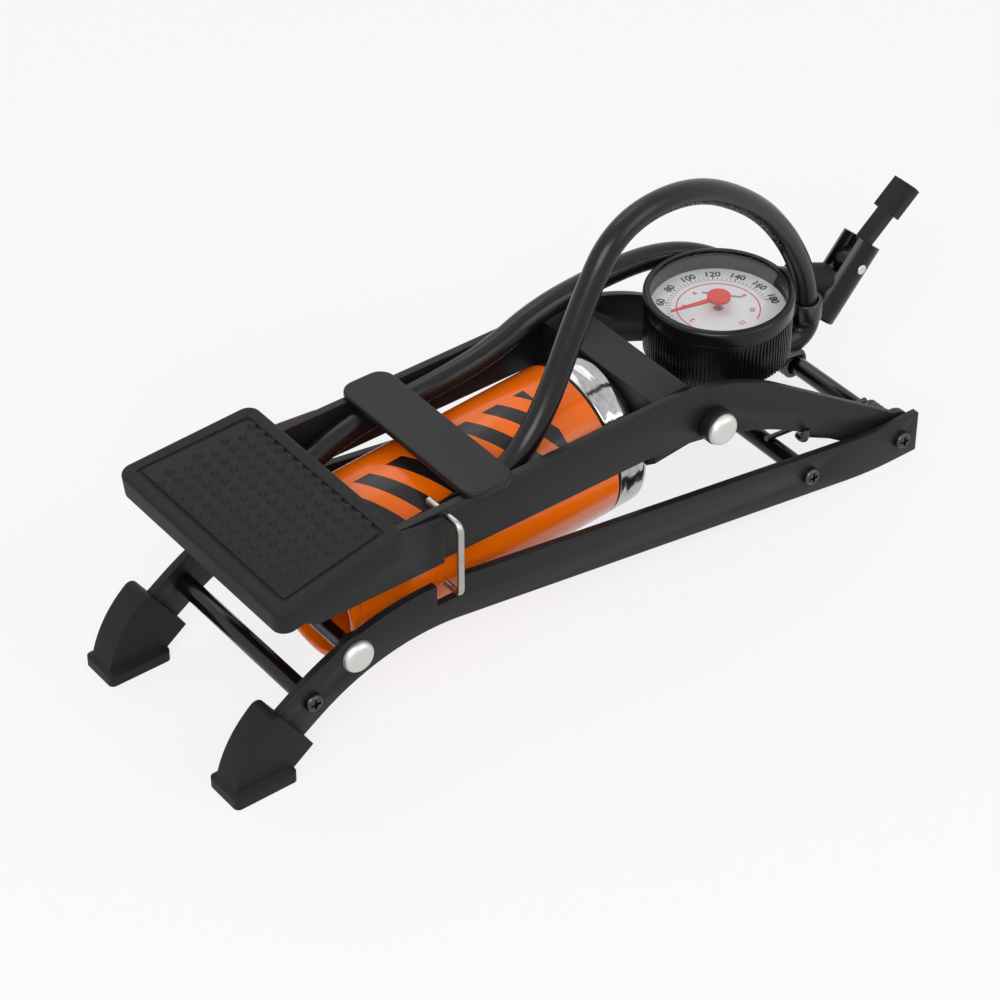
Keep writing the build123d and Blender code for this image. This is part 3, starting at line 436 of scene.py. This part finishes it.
LENS = ClearPlastic("clear_lens_plastic")

BARREL_WAY = -Vector(JOINTS["rod_slide"]["axis"])
BARREL_FOOT = Vector(JOINTS["rod_slide"]["pos_m"])
BARREL_RADIUS = 0.029
ORANGE = BarrelLacquer("barrel_lacquer", (0.95, 0.17, 0.001), (0.86, 0.13, 0.001), (0.010, 0.007, 0.007),
                       foot=(BARREL_FOOT.x, BARREL_FOOT.z), tilt=atan2(BARREL_WAY.z, BARREL_WAY.x),
                       radius=BARREL_RADIUS)


def middle(node: str) -> Vector:
    """Centre of a CAD node's box at rest."""
    low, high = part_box(node)
    return (low + high) / 2


# ------------------------------------------------------------------ mesh making
WELD_DISTANCE = 2e-6
FLAT_ANGLE = radians(0.8)
EDGE_PROFILE = 0.6
BLOCK_PROFILE = 0.7


def round_steps(segments: int) -> List[Tuple[float, float]]:
    """Cosine and sine of each step round a circle."""
    return [(cos(2 * pi * i / segments), sin(2 * pi * i / segments)) for i in range(segments)]


def turn_to(way: Vector, origin: Vector, across: Vector) -> Matrix:
    """Place whose Z runs along a way.

    Args:
        way: Direction of the new Z axis.
        origin: Its origin.
        across: Direction that the new X axis leans to.

    Returns:
        The placing matrix.
    """
    z = way.normalized()
    x = (across - z * across.dot(z)).normalized()
    turned = Matrix((x, z.cross(x), z)).transposed().to_4x4()
    return Matrix.Translation(origin) @ turned


class Shape:
    """Mesh under construction, in the row frame."""

    def __init__(self) -> None:
        """Start with nothing."""
        self.mesh = bmesh.new()

    def lathe(self, outline: Sequence[Tuple[float, float]], place: Matrix, segments: int = 28) -> None:
        """Turn an outline that starts and ends on the axis round the Z axis of a place.

        Args:
            outline: Radius and height of each corner; a radius of 0 is a point.
            place: Where the axis stands.
            segments: Steps round the axis.
        """
        rings: List[List[bmesh.types.BMVert]] = []
        for radius, height in outline:
            corners = [(radius * x, radius * y) for x, y in round_steps(segments)] if radius else [(0, 0)]
            rings.append([self.mesh.verts.new(place @ Vector((x, y, height))) for x, y in corners])
        for lower, upper in zip(rings, rings[1:]):
            for i in range(segments):
                j = (i + 1) % segments
                face = [lower[i % len(lower)], lower[j % len(lower)],
                        upper[j % len(upper)], upper[i % len(upper)]]
                face = list(dict.fromkeys(face))
                if len(face) > 2:
                    self.mesh.faces.new(face)

    def block(self, size: Triple, place: Matrix, bevel: float = 0.0) -> None:
        """Add a block with rounded edges.

        Args:
            size: Length along each axis of the place.
            place: Its centre and turn.
            bevel: Width of the rounded edges.
        """
        made = bmesh.ops.create_cube(self.mesh, size=1.0, matrix=place @ Matrix.Diagonal((*size, 1.0)))
        if bevel:
            edges = list({edge for vert in made["verts"] for edge in vert.link_edges})
            bmesh.ops.bevel(self.mesh, geom=edges, offset=bevel, segments=2, profile=BLOCK_PROFILE,
                            affect="EDGES")

    def sheet(self, outline: Sequence[Tuple[float, float]], thickness: float, place: Matrix) -> None:
        """Add a flat plate with this outline.

        Args:
            outline: Corners in the plane of the place.
            thickness: How far it rises along Z.
            place: Where it lies.
        """
        lower = [self.mesh.verts.new(place @ Vector((x, y, 0))) for x, y in outline]
        upper = [self.mesh.verts.new(place @ Vector((x, y, thickness))) for x, y in outline]
        self.mesh.faces.new(list(reversed(lower)))
        self.mesh.faces.new(upper)
        for i in range(len(outline)):
            j = (i + 1) % len(outline)
            self.mesh.faces.new((lower[i], lower[j], upper[j], upper[i]))

    def tube(self, line: Sequence[Vector], radius: float, segments: int) -> None:
        """Sweep a round section along a line.

        Args:
            line: Points of the centre line.
            radius: Radius of the section.
            segments: Steps round the section.
        """
        across = (line[1] - line[0]).normalized().orthogonal().normalized()
        rings = []
        for i, point in enumerate(line):
            way = (line[min(i + 1, len(line) - 1)] - line[max(i - 1, 0)]).normalized()
            across = (across - way * across.dot(way)).normalized()
            other = way.cross(across)
            rings.append([self.mesh.verts.new(point + (across * x + other * y) * radius)
                          for x, y in round_steps(segments)])
        for lower, upper in zip(rings, rings[1:]):
            for i in range(segments):
                j = (i + 1) % segments
                self.mesh.faces.new((lower[i], lower[j], upper[j], upper[i]))
        self.mesh.faces.new(list(reversed(rings[0])))
        self.mesh.faces.new(rings[-1])

    def lettering(self, text: str, size: float, place: Matrix, rise: float, heft: float = 0.03) -> None:
        """Add flat figures.

        Args:
            text: The figures.
            size: Their height.
            place: Middle of the text; its Y points to the top of the figures.
            rise: How far they stand up.
            heft: How much their strokes widen, as a share of the height.
        """
        curve = bpy.data.curves.new("figures", "FONT")
        curve.body = text
        curve.size = size
        curve.extrude = rise / 2
        curve.offset = size * heft
        curve.align_x = "CENTER"
        curve.align_y = "CENTER"
        holder = bpy.data.objects.new("figures", curve)
        data = bpy.data.meshes.new_from_object(holder)
        data.transform(place)
        self.mesh.from_mesh(data)
        bpy.data.objects.remove(holder)
        bpy.data.meshes.remove(data)

    def copy_of(self, node: str, width: float, segments: int, sharp: float) -> None:
        """Add a CAD node's mesh with its edges rounded.

        Args:
            node: The CAD node.
            width: Width of the rounding.
            segments: Steps across the rounding.
            sharp: Least angle of an edge that is rounded, in degrees.
        """
        self.mesh.from_mesh(frame["nodes"][node].data)
        bmesh.ops.remove_doubles(self.mesh, verts=self.mesh.verts, dist=WELD_DISTANCE)
        bmesh.ops.dissolve_limit(self.mesh, angle_limit=FLAT_ANGLE, verts=self.mesh.verts,
                                 edges=self.mesh.edges)
        edges = [edge for edge in self.mesh.edges
                 if len(edge.link_faces) == 2 and edge.calc_face_angle(0.0) > radians(sharp)]
        bmesh.ops.bevel(self.mesh, geom=edges, offset=width, segments=segments, profile=EDGE_PROFILE,
                        affect="EDGES", clamp_overlap=True)

    def piece(self, name: str, body: Optional[str], finish: Finish,
              crease: float = 38.0) -> bpy.types.Object:
        """Turn the mesh into a piece of the pump.

        Args:
            name: Name of the piece.
            body: Body that it rides on, or None for a piece that rides on no body.
            finish: Its finish.
            crease: Angle over which an edge stays sharp, in degrees.

        Returns:
            The new object.
        """
        bmesh.ops.recalc_face_normals(self.mesh, faces=self.mesh.faces)
        data = bpy.data.meshes.new(name)
        self.mesh.to_mesh(data)
        self.mesh.free()
        data.shade_smooth()
        data.set_sharp_from_angle(angle=radians(crease))
        data.materials.append(finish.material)
        made = bpy.data.objects.new(name, data)
        bpy.context.scene.collection.objects.link(made)
        if body:
            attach(made, body)
        LOG.info("piece %s rides on %s", name, body)
        return made


def soften(node: str, width: float, finish: Finish, segments: int = 2,
           sharp: float = 30.0) -> bpy.types.Object:
    """Stand a copy with rounded edges in for a CAD node.

    Args:
        node: The CAD node.
        width: Width of the rounding.
        finish: Finish of the copy.
        segments: Steps across the rounding.
        sharp: Least angle of an edge that is rounded, in degrees.

    Returns:
        The copy.
    """
    shape = Shape()
    shape.copy_of(node, width, segments, sharp)
    made = shape.piece(f"{node}_edged", BODY_OF[node], finish)
    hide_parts(node)
    return made


def dress(node: str, finish: Finish) -> None:
    """Give a CAD node a finish.

    Args:
        node: The CAD node.
        finish: Its new finish.
    """
    for slot in frame["nodes"][node].material_slots:
        slot.material = finish.material
    LOG.info("node %s has the finish %s", node, finish.name)


# ------------------------------------------------------------------ sub-assemblies
@dataclass
class BaseFrame:
    """Rails, cross tubes, boots and springs that stand on the floor."""

    rail_edge: float = 0.0006
    boot_edge: float = 0.0016
    tube_edge: float = 0.0005
    pin_edge: float = 0.0004

    def build(self) -> None:
        """Round the edges and dress each piece."""
        for node in ("base_rail_left", "base_rail_right"):
            soften(node, self.rail_edge, POWDER)
        for node in ("foot_boot_left", "foot_boot_right"):
            soften(node, self.boot_edge, RUBBER, segments=3)
        for node in ("front_cross_tube", "middle_cross_tube"):
            soften(node, self.tube_edge, GLOSS)
        for node in ("return_spring_left", "return_spring_right", "frame_screws"):
            dress(node, BLACK_STEEL)
        soften("hinge_axle", self.pin_edge, GLOSS)
        soften("front_pivot_rivets", self.pin_edge, ZINC)


@dataclass
class PedalFrame:
    """Arms, pedal and strap that swing about the hinge."""

    arm_edge: float = 0.0006
    pan_edge: float = 0.0004
    pivot_edge: float = 0.0005
    pad_edge: float = 0.0009
    tilt: float = radians(6.5)
    rows: int = 8
    columns: int = 13
    stud_pitch: float = 0.0055
    stud_shift: float = 0.25
    stud_radius: float = 0.0017
    stud_rise: float = 0.0010
    stud_root: float = 0.0003
    stud_turns: Tuple[float, ...] = (0.0, radians(30), radians(60))
    stud_segments: int = 14

    def build(self) -> None:
        """Dress the arms, then make the pad's skin."""
        for node in ("pedal_arm_left", "pedal_arm_right", "pedal_strap"):
            soften(node, self.arm_edge, POWDER)
        soften("pedal_pan", self.pan_edge, POWDER)
        soften("pivot_spacers", self.pivot_edge, POWDER)
        soften("rear_pivot_pin", self.pivot_edge, ZINC)
        soften("pedal_pad", self.pad_edge, RUBBER)
        dress("latch_wire", WIRE)
        self.studs()

    def studs(self) -> None:
        """Cover the tread inside the groove with low round studs, each row shifted against the next."""
        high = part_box("pedal_pad")[1]
        centre = middle("pedal_pad")
        centre.z = high.z - (high.x - centre.x) * tan(self.tilt)
        place = Matrix.Translation(centre) @ Matrix.Rotation(-self.tilt, 4, "Y")
        crown = [(self.stud_radius * cos(turn), self.stud_rise * sin(turn)) for turn in self.stud_turns]
        root = [(0.0, -self.stud_root), (self.stud_radius, -self.stud_root)]
        outline = root + crown + [(0.0, self.stud_rise)]
        shape = Shape()
        for row in range(self.rows):
            shift = self.stud_shift if row % 2 else -self.stud_shift
            along = (row - (self.rows - 1) / 2) * self.stud_pitch
            for column in range(self.columns):
                across = (column - (self.columns - 1) / 2 + shift) * self.stud_pitch
                shape.lathe(outline, place @ Matrix.Translation((along, across, 0)), self.stud_segments)
        shape.piece("pedal_pad_studs", "pedal_frame", RUBBER)


@dataclass
class Cylinder:
    """Barrel, head, outlet and piston."""

    barrel_edge: float = 0.0004
    ring_edge: float = 0.0008
    head_edge: float = 0.0005
    gasket_edge: float = 0.0002
    fitting_edge: float = 0.0004

    def build(self) -> None:
        """Round the edges and dress each piece."""
        soften("barrel", self.barrel_edge, ORANGE)
        soften("barrel_end_ring", self.ring_edge, ORANGE)
        soften("head_cap", self.head_edge, CHROME, segments=3)
        soften("head_gasket", self.gasket_edge, RUBBER)
        soften("head_yoke", self.fitting_edge, POWDER)
        soften("outlet_block", self.head_edge, POWDER)
        soften("hose_elbow", self.fitting_edge, PLASTIC)
        soften("hose_ferrule", self.fitting_edge, BLACK_STEEL)
        for node in ("check_valve_disc", "piston_cup"):
            dress(node, RUBBER)
        for node in ("piston_rod", "piston_nut"):
            dress(node, ZINC)
        dress("rod_end_pin", BLACK_STEEL)
        dress("piston_head", PISTON)


@dataclass
class Gauge:
    """Case, lens, dial and needle."""

    bezel_edge: float = 0.0006
    case_edge: float = 0.0004
    ribs: int = 110
    rib_size: Triple = (0.0005, 0.0007, 0.0165)
    rib_edge: float = 0.0003
    ink: float = 0.00006
    first_turn: float = radians(210)
    turn_step: float = radians(25.7)
    labels: Tuple[str, ...] = ("0", "20", "40", "60", "80", "100", "120", "140", "160", "180")
    number_size: float = 0.0040
    number_ring: float = 0.0205
    tick_ring: float = 0.0176
    ticks_per_step: int = 5
    long_tick: Tuple[float, float] = (0.00040, 0.0016)
    short_tick: Tuple[float, float] = (0.00025, 0.0009)
    grey_arc: Tuple[float, float] = (0.0170, 0.01715)
    dot_radius: float = 0.0018
    # Ends and width of the grey bar on the dial: a painted shadow of the needle's tail.
    painted_shadow_start: Tuple[float, float] = (0.0108, radians(82))
    painted_shadow_end: Tuple[float, float] = (0.0109, radians(-1))
    painted_shadow_width: float = 0.0011
    red_arc: Tuple[float, float] = (0.0146, 0.0151)
    red_turns: Tuple[float, float] = (radians(190), radians(-64))
    small_labels: Tuple[Tuple[float, str], ...] = (
        (radians(180), "2"), (radians(137), "4"), (radians(94), "6"),
        (radians(1), "8"), (radians(-42), "10"), (radians(-85), "12"))
    small_size: float = 0.0027
    small_ring: float = 0.0120
    boss: Tuple[Tuple[float, float], ...] = (
        (0.0, 0.0), (0.0016, 0.0), (0.0015, 0.0005), (0.0010, 0.0007), (0.0, 0.0007))
    boss_sink: float = 0.0002

    @property
    def centre(self) -> Vector:
        """Middle of the dial's face.

        Returns:
            The point, at rest.
        """
        point = middle("gauge_dial")
        point.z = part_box("gauge_dial")[1].z
        return point

    @property
    def turns(self) -> List[float]:
        """Angle of each number, from +X."""
        return [self.first_turn - self.turn_step * i for i in range(len(self.labels))]

    def build(self) -> None:
        """Dress the gauge, print its dial and paint the needle tail's shadow on it."""
        soften("gauge_bezel", self.bezel_edge, PLASTIC, segments=3)
        soften("gauge_case", self.case_edge, PLASTIC)
        dress("gauge_lens", LENS)
        dress("gauge_dial", DIAL)
        dress("gauge_needle", NEEDLE_RED)
        for node in ("gauge_stem", "bourdon_tube", "gauge_movement"):
            dress(node, BRASS)
        self.case_ribs()
        self.black_print()
        self.grey_print_and_painted_shadow()
        self.red_print()
        self.needle_boss()

    def spot(self, ring: float, turn: float, lift: float = 0.0) -> Matrix:
        """Place on the dial whose Y points away from the centre.

        Args:
            ring: Distance from the centre.
            turn: Angle from +X.
            lift: Height over the dial.

        Returns:
            The placing matrix.
        """
        centre = self.centre
        point = Vector((centre.x + ring * cos(turn), centre.y + ring * sin(turn), centre.z + lift))
        return Matrix.Translation(point) @ Matrix.Rotation(turn - pi / 2, 4, "Z")

    def case_ribs(self) -> None:
        """Grip ribs round the case."""
        low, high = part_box("gauge_case")
        radius = (high.x - low.x) / 2
        place = Matrix.Translation((self.centre.x, self.centre.y, (low.z + high.z) / 2))
        shape = Shape()
        for i in range(self.ribs):
            turned = place @ Matrix.Rotation(2 * pi * i / self.ribs, 4, "Z")
            shape.block(self.rib_size, turned @ Matrix.Translation((radius, 0, 0)), self.rib_edge)
        shape.piece("gauge_case_ribs", "cylinder", PLASTIC)

    def arc(self, shape: Shape, radii: Tuple[float, float], start: float, end: float,
            steps: int = 80) -> None:
        """Add a flat printed arc.

        Args:
            shape: Shape to add to.
            radii: Inner and outer radius.
            start: First angle from +X.
            end: Last angle.
            steps: Pieces along it.
        """
        inner, outer = radii
        turns = [start + (end - start) * i / steps for i in range(steps + 1)]
        rim = [(outer * cos(turn), outer * sin(turn)) for turn in turns]
        rim += [(inner * cos(turn), inner * sin(turn)) for turn in reversed(turns)]
        shape.sheet(rim, self.ink, Matrix.Translation(self.centre))

    def black_print(self) -> None:
        """Numbers and ticks of the outer scale."""
        shape = Shape()
        for turn, label in zip(self.turns, self.labels):
            place = self.spot(self.number_ring, turn, self.ink)
            shape.lettering(label, self.number_size, place, self.ink)
        for i in range((len(self.labels) - 1) * self.ticks_per_step + 1):
            turn = self.first_turn - self.turn_step * i / self.ticks_per_step
            width, length = self.short_tick if i % self.ticks_per_step else self.long_tick
            place = self.spot(self.tick_ring + length / 2, turn, self.ink / 2)
            shape.block((width, length, self.ink), place)
        shape.piece("dial_black_print", "cylinder", BLACK_INK)

    def grey_print_and_painted_shadow(self) -> None:
        """Thin printed arc under the ticks and a dot at the middle, with a grey bar that is a painted shadow of
        the needle's tail.
        """
        shape = Shape()
        self.arc(shape, self.grey_arc, self.turns[0], self.turns[-1])
        dot = [(0.0, 0.0), (self.dot_radius, 0.0), (self.dot_radius, self.ink), (0.0, self.ink)]
        shape.lathe(dot, Matrix.Translation(self.centre))
        # Grey bar: a painted shadow of the needle's tail, laid flat on the dial and not moving with the needle.
        start = self.spot(*self.painted_shadow_start).translation
        end = self.spot(*self.painted_shadow_end).translation
        way = end - start
        lie = turn_to(Vector((0, 0, 1)), (start + end) / 2 + Vector((0, 0, self.ink / 2)), way)
        shape.block((way.length, self.painted_shadow_width, self.ink), lie)
        shape.piece("dial_grey_print", "cylinder", GREY_INK_AND_PAINTED_SHADOW)

    def red_print(self) -> None:
        """Arc and small numbers of the inner scale."""
        shape = Shape()
        self.arc(shape, self.red_arc, *self.red_turns)
        for turn, label in self.small_labels:
            place = self.spot(self.small_ring, turn, self.ink)
            shape.lettering(label, self.small_size, place, self.ink)
        shape.piece("dial_red_print", "cylinder", RED_INK)

    def needle_boss(self) -> None:
        """Low cap over the middle of the needle."""
        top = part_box("gauge_needle")[1].z
        shape = Shape()
        shape.lathe(self.boss, Matrix.Translation((self.centre.x, self.centre.y, top - self.boss_sink)))
        shape.piece("needle_boss", "needle", NEEDLE_RED)


@dataclass
class HoseAndChuck:
    """Air hose with the lever chuck on its end."""

    route: Tuple[Triple, ...] = (
        (0.130, 0.0, 0.04803), (0.130, 0.0, 0.062), (0.118, -0.002, 0.088), (0.097, -0.005, 0.114),
        (0.063, -0.010, 0.137), (0.026, -0.0155, 0.1385), (0.009, -0.018, 0.112), (-0.008, -0.0205, 0.078),
        (-0.027, -0.024, 0.064), (-0.060, -0.0265, 0.062), (-0.083, -0.026, 0.0605), (-0.109, -0.023, 0.056),
        (-0.121, 0.0, 0.0525), (-0.109, 0.023, 0.055), (-0.085, 0.026, 0.0595), (-0.070, 0.0264, 0.0608),
        (-0.061, 0.0268, 0.0645), (-0.045, 0.0268, 0.068), (-0.025, 0.0268, 0.068), (0.005, 0.0268, 0.071),
        (0.027, 0.028, 0.079), (0.055, 0.031, 0.079), (0.085, 0.033, 0.0765), (0.105, 0.027, 0.071),
        (0.11861, 0.01758, 0.0594), (0.13999, 0.01129, 0.0538))
    length: float = 0.634
    diameter: float = 0.009
    segments: int = 24
    blend_step: Triple = (-0.0025, 0.010, 0.00125)
    held: float = 0.02
    freed: float = 0.25
    body_edge: float = 0.0011
    lever_edge: float = 0.0008
    neck_edge: float = 0.0005
    pin_edge: float = 0.0003

    def build(self) -> None:
        """Make the hose, then the chuck."""
        line = self.centre_line()
        shape = Shape()
        shape.tube(line, self.diameter / 2, self.segments)
        hose = shape.piece("air_hose", None, HOSE_RUBBER)
        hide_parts("hose")
        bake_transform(hose)
        self.ease_along(line)
        pieces = self.chuck()

    def ease_along(self, line: List[Vector]) -> None:
        """Work out the hose's blend weights by length along it; the weights are not kept.

        Args:
            line: Points of its centre line.
        """
        weights: List[float] = []
        run = 0.0
        for i, point in enumerate(line):
            run += (point - line[i - 1]).length if i else 0.0
            share = min(max((run - self.held) / (self.freed - self.held), 0.0), 1.0)
            weights += [share * share * (3 - 2 * share)] * self.segments

    def centre_line(self) -> List[Vector]:
        """Smooth spline of the route.

        Returns:
            Points along it.
        """
        curve = bpy.data.curves.new("hose_route", "CURVE")
        curve.dimensions = "3D"
        spline = curve.splines.new("NURBS")
        spline.points.add(len(self.route) - 1)
        for point, place in zip(spline.points, self.route):
            point.co = (*place, 1.0)
        spline.order_u = 3
        spline.use_endpoint_u = True
        spline.resolution_u = 12
        holder = bpy.data.objects.new("hose_route", curve)
        mesh = bpy.data.meshes.new_from_object(holder)
        line = [vert.co.copy() for vert in mesh.vertices]
        bpy.data.objects.remove(holder)
        bpy.data.meshes.remove(mesh)
        return line

    def chuck(self) -> List[bpy.types.Object]:
        """Round the edges of the chuck's pieces.

        Returns:
            The pieces.
        """
        body = soften("chuck_body", self.body_edge, PLASTIC, segments=4)
        lever = soften("chuck_lever", self.lever_edge, PLASTIC, segments=3)
        neck = soften("chuck_neck", self.neck_edge, RUBBER)
        pin = soften("chuck_lever_pin", self.pin_edge, ZINC)
        dress("chuck_seal", RUBBER)
        return [body, lever, neck, pin, frame["nodes"]["chuck_seal"]]


# ------------------------------------------------------------------ studio
@dataclass
class Studio:
    """Floor, world, lights and camera."""

    camera_place: Triple = (-0.5710, -0.7299, 0.7706)
    camera_turn: Triple = (radians(51.21), 0.0, radians(-37.55))
    lens: float = 122.36
    sensor: float = 36.0
    nearest: float = 0.05
    ambient: float = 0.42
    white: Colour = (1.0, 1.0, 1.0)
    floor_size: float = 6.0
    floor_gap: float = 0.0002
    floor_tone: float = 0.80
    floor_patch: float = 0.98
    floor_grain: float = 300.0
    floor_roughness: float = 0.9
    floor_specular: float = 0.1
    floor_glow: float = 0.80
    lamps: Tuple[Tuple[str, Triple, float, float], ...] = (
        ("key", (-1.1, -1.0, 1.3), 1.1, 22.0),
        ("fill", (0.9, -1.3, 0.9), 1.0, 7.0),
        ("top", (0.3, 0.9, 1.5), 1.0, 4.0))
    aim: Triple = (0.0, 0.0, 0.05)

    def build(self) -> None:
        """Set up everything round the pump."""
        bpy.context.scene.view_settings.view_transform = "Standard"
        self.camera()
        self.world()
        self.floor()
        for name, place, size, power in self.lamps:
            self.lamp(name, place, size, power)

    def camera(self) -> None:
        """Camera that looks down at the pump from the front right."""
        data = bpy.data.cameras.new("camera")
        data.lens = self.lens
        data.sensor_width = self.sensor
        data.clip_start = self.nearest
        camera = bpy.data.objects.new("camera", data)
        camera.location = self.camera_place
        camera.rotation_euler = self.camera_turn
        bpy.context.scene.collection.objects.link(camera)
        bpy.context.scene.camera = camera

    @staticmethod
    def seen(graph: Graph) -> Signal:
        """Rays that show the background: camera, glossy and transmission rays.

        Args:
            graph: Node tree to add to.

        Returns:
            1 for those rays, else 0.
        """
        rays = [graph.node("ShaderNodeLightPath", output=name)
                for name in ("Is Camera Ray", "Is Glossy Ray", "Is Transmission Ray")]
        return (rays[0] + rays[1] + rays[2]).above(0.5)

    def world(self) -> None:
        """White behind the pump, softer as a light."""
        world = bpy.data.worlds.new("studio")
        bpy.context.scene.world = world
        graph = Graph(world)
        background = graph.tree.nodes["Background"]
        strength = self.seen(graph) * (1.0 - self.ambient) + self.ambient
        graph.join(background.inputs["Strength"], strength)
        graph.join(background.inputs["Color"], self.white)

    def floor(self) -> None:
        """Pale floor that keeps a soft shadow."""
        shape = bmesh.new()
        bmesh.ops.create_grid(shape, x_segments=1, y_segments=1, size=self.floor_size)
        data = bpy.data.meshes.new("floor")
        shape.to_mesh(data)
        shape.free()
        floor = bpy.data.objects.new("floor", data)
        floor.location.z = -self.floor_gap
        bpy.context.scene.collection.objects.link(floor)
        material = bpy.data.materials.new("floor")
        graph = Graph(material)
        tone = (self.floor_tone,) * 3
        patch = (self.floor_tone * self.floor_patch,) * 3
        graph.feed(Base_Color=graph.blend(tone, patch, graph.noise(self.floor_grain)),
                   Roughness=self.floor_roughness, Specular_IOR_Level=self.floor_specular)
        glow = graph.node("ShaderNodeEmission", None, {"Color": self.white, "Strength": 1.0})
        matt = Signal(graph, graph.shader.outputs[0])
        share = self.seen(graph) * self.floor_glow
        mixed = graph.node("ShaderNodeMixShader", None, {0: share, 1: matt, 2: glow})
        graph.join(graph.tree.nodes["Material Output"].inputs["Surface"], mixed)
        data.materials.append(material)

    def lamp(self, name: str, place: Triple, size: float, power: float) -> None:
        """Add a soft square lamp that faces the pump.

        Args:
            name: Name of the lamp.
            place: Where it hangs.
            size: Side of the square.
            power: Strength in watts.
        """
        data = bpy.data.lights.new(name, "AREA")
        data.size = size
        data.energy = power
        lamp = bpy.data.objects.new(name, data)
        lamp.location = place
        lamp.rotation_euler = (Vector(self.aim) - Vector(place)).to_track_quat("-Z", "Y").to_euler()
        bpy.context.scene.collection.objects.link(lamp)


def main() -> None:
    """Build the studio and every sub-assembly."""
    logging.basicConfig(level=logging.INFO, format="%(name)s: %(message)s")
    for builder in (Studio(), HoseAndChuck(), BaseFrame(), PedalFrame(), Cylinder(), Gauge()):
        LOG.info("building %s", type(builder).__name__)
        builder.build()


if __name__ == "__main__":
    main()
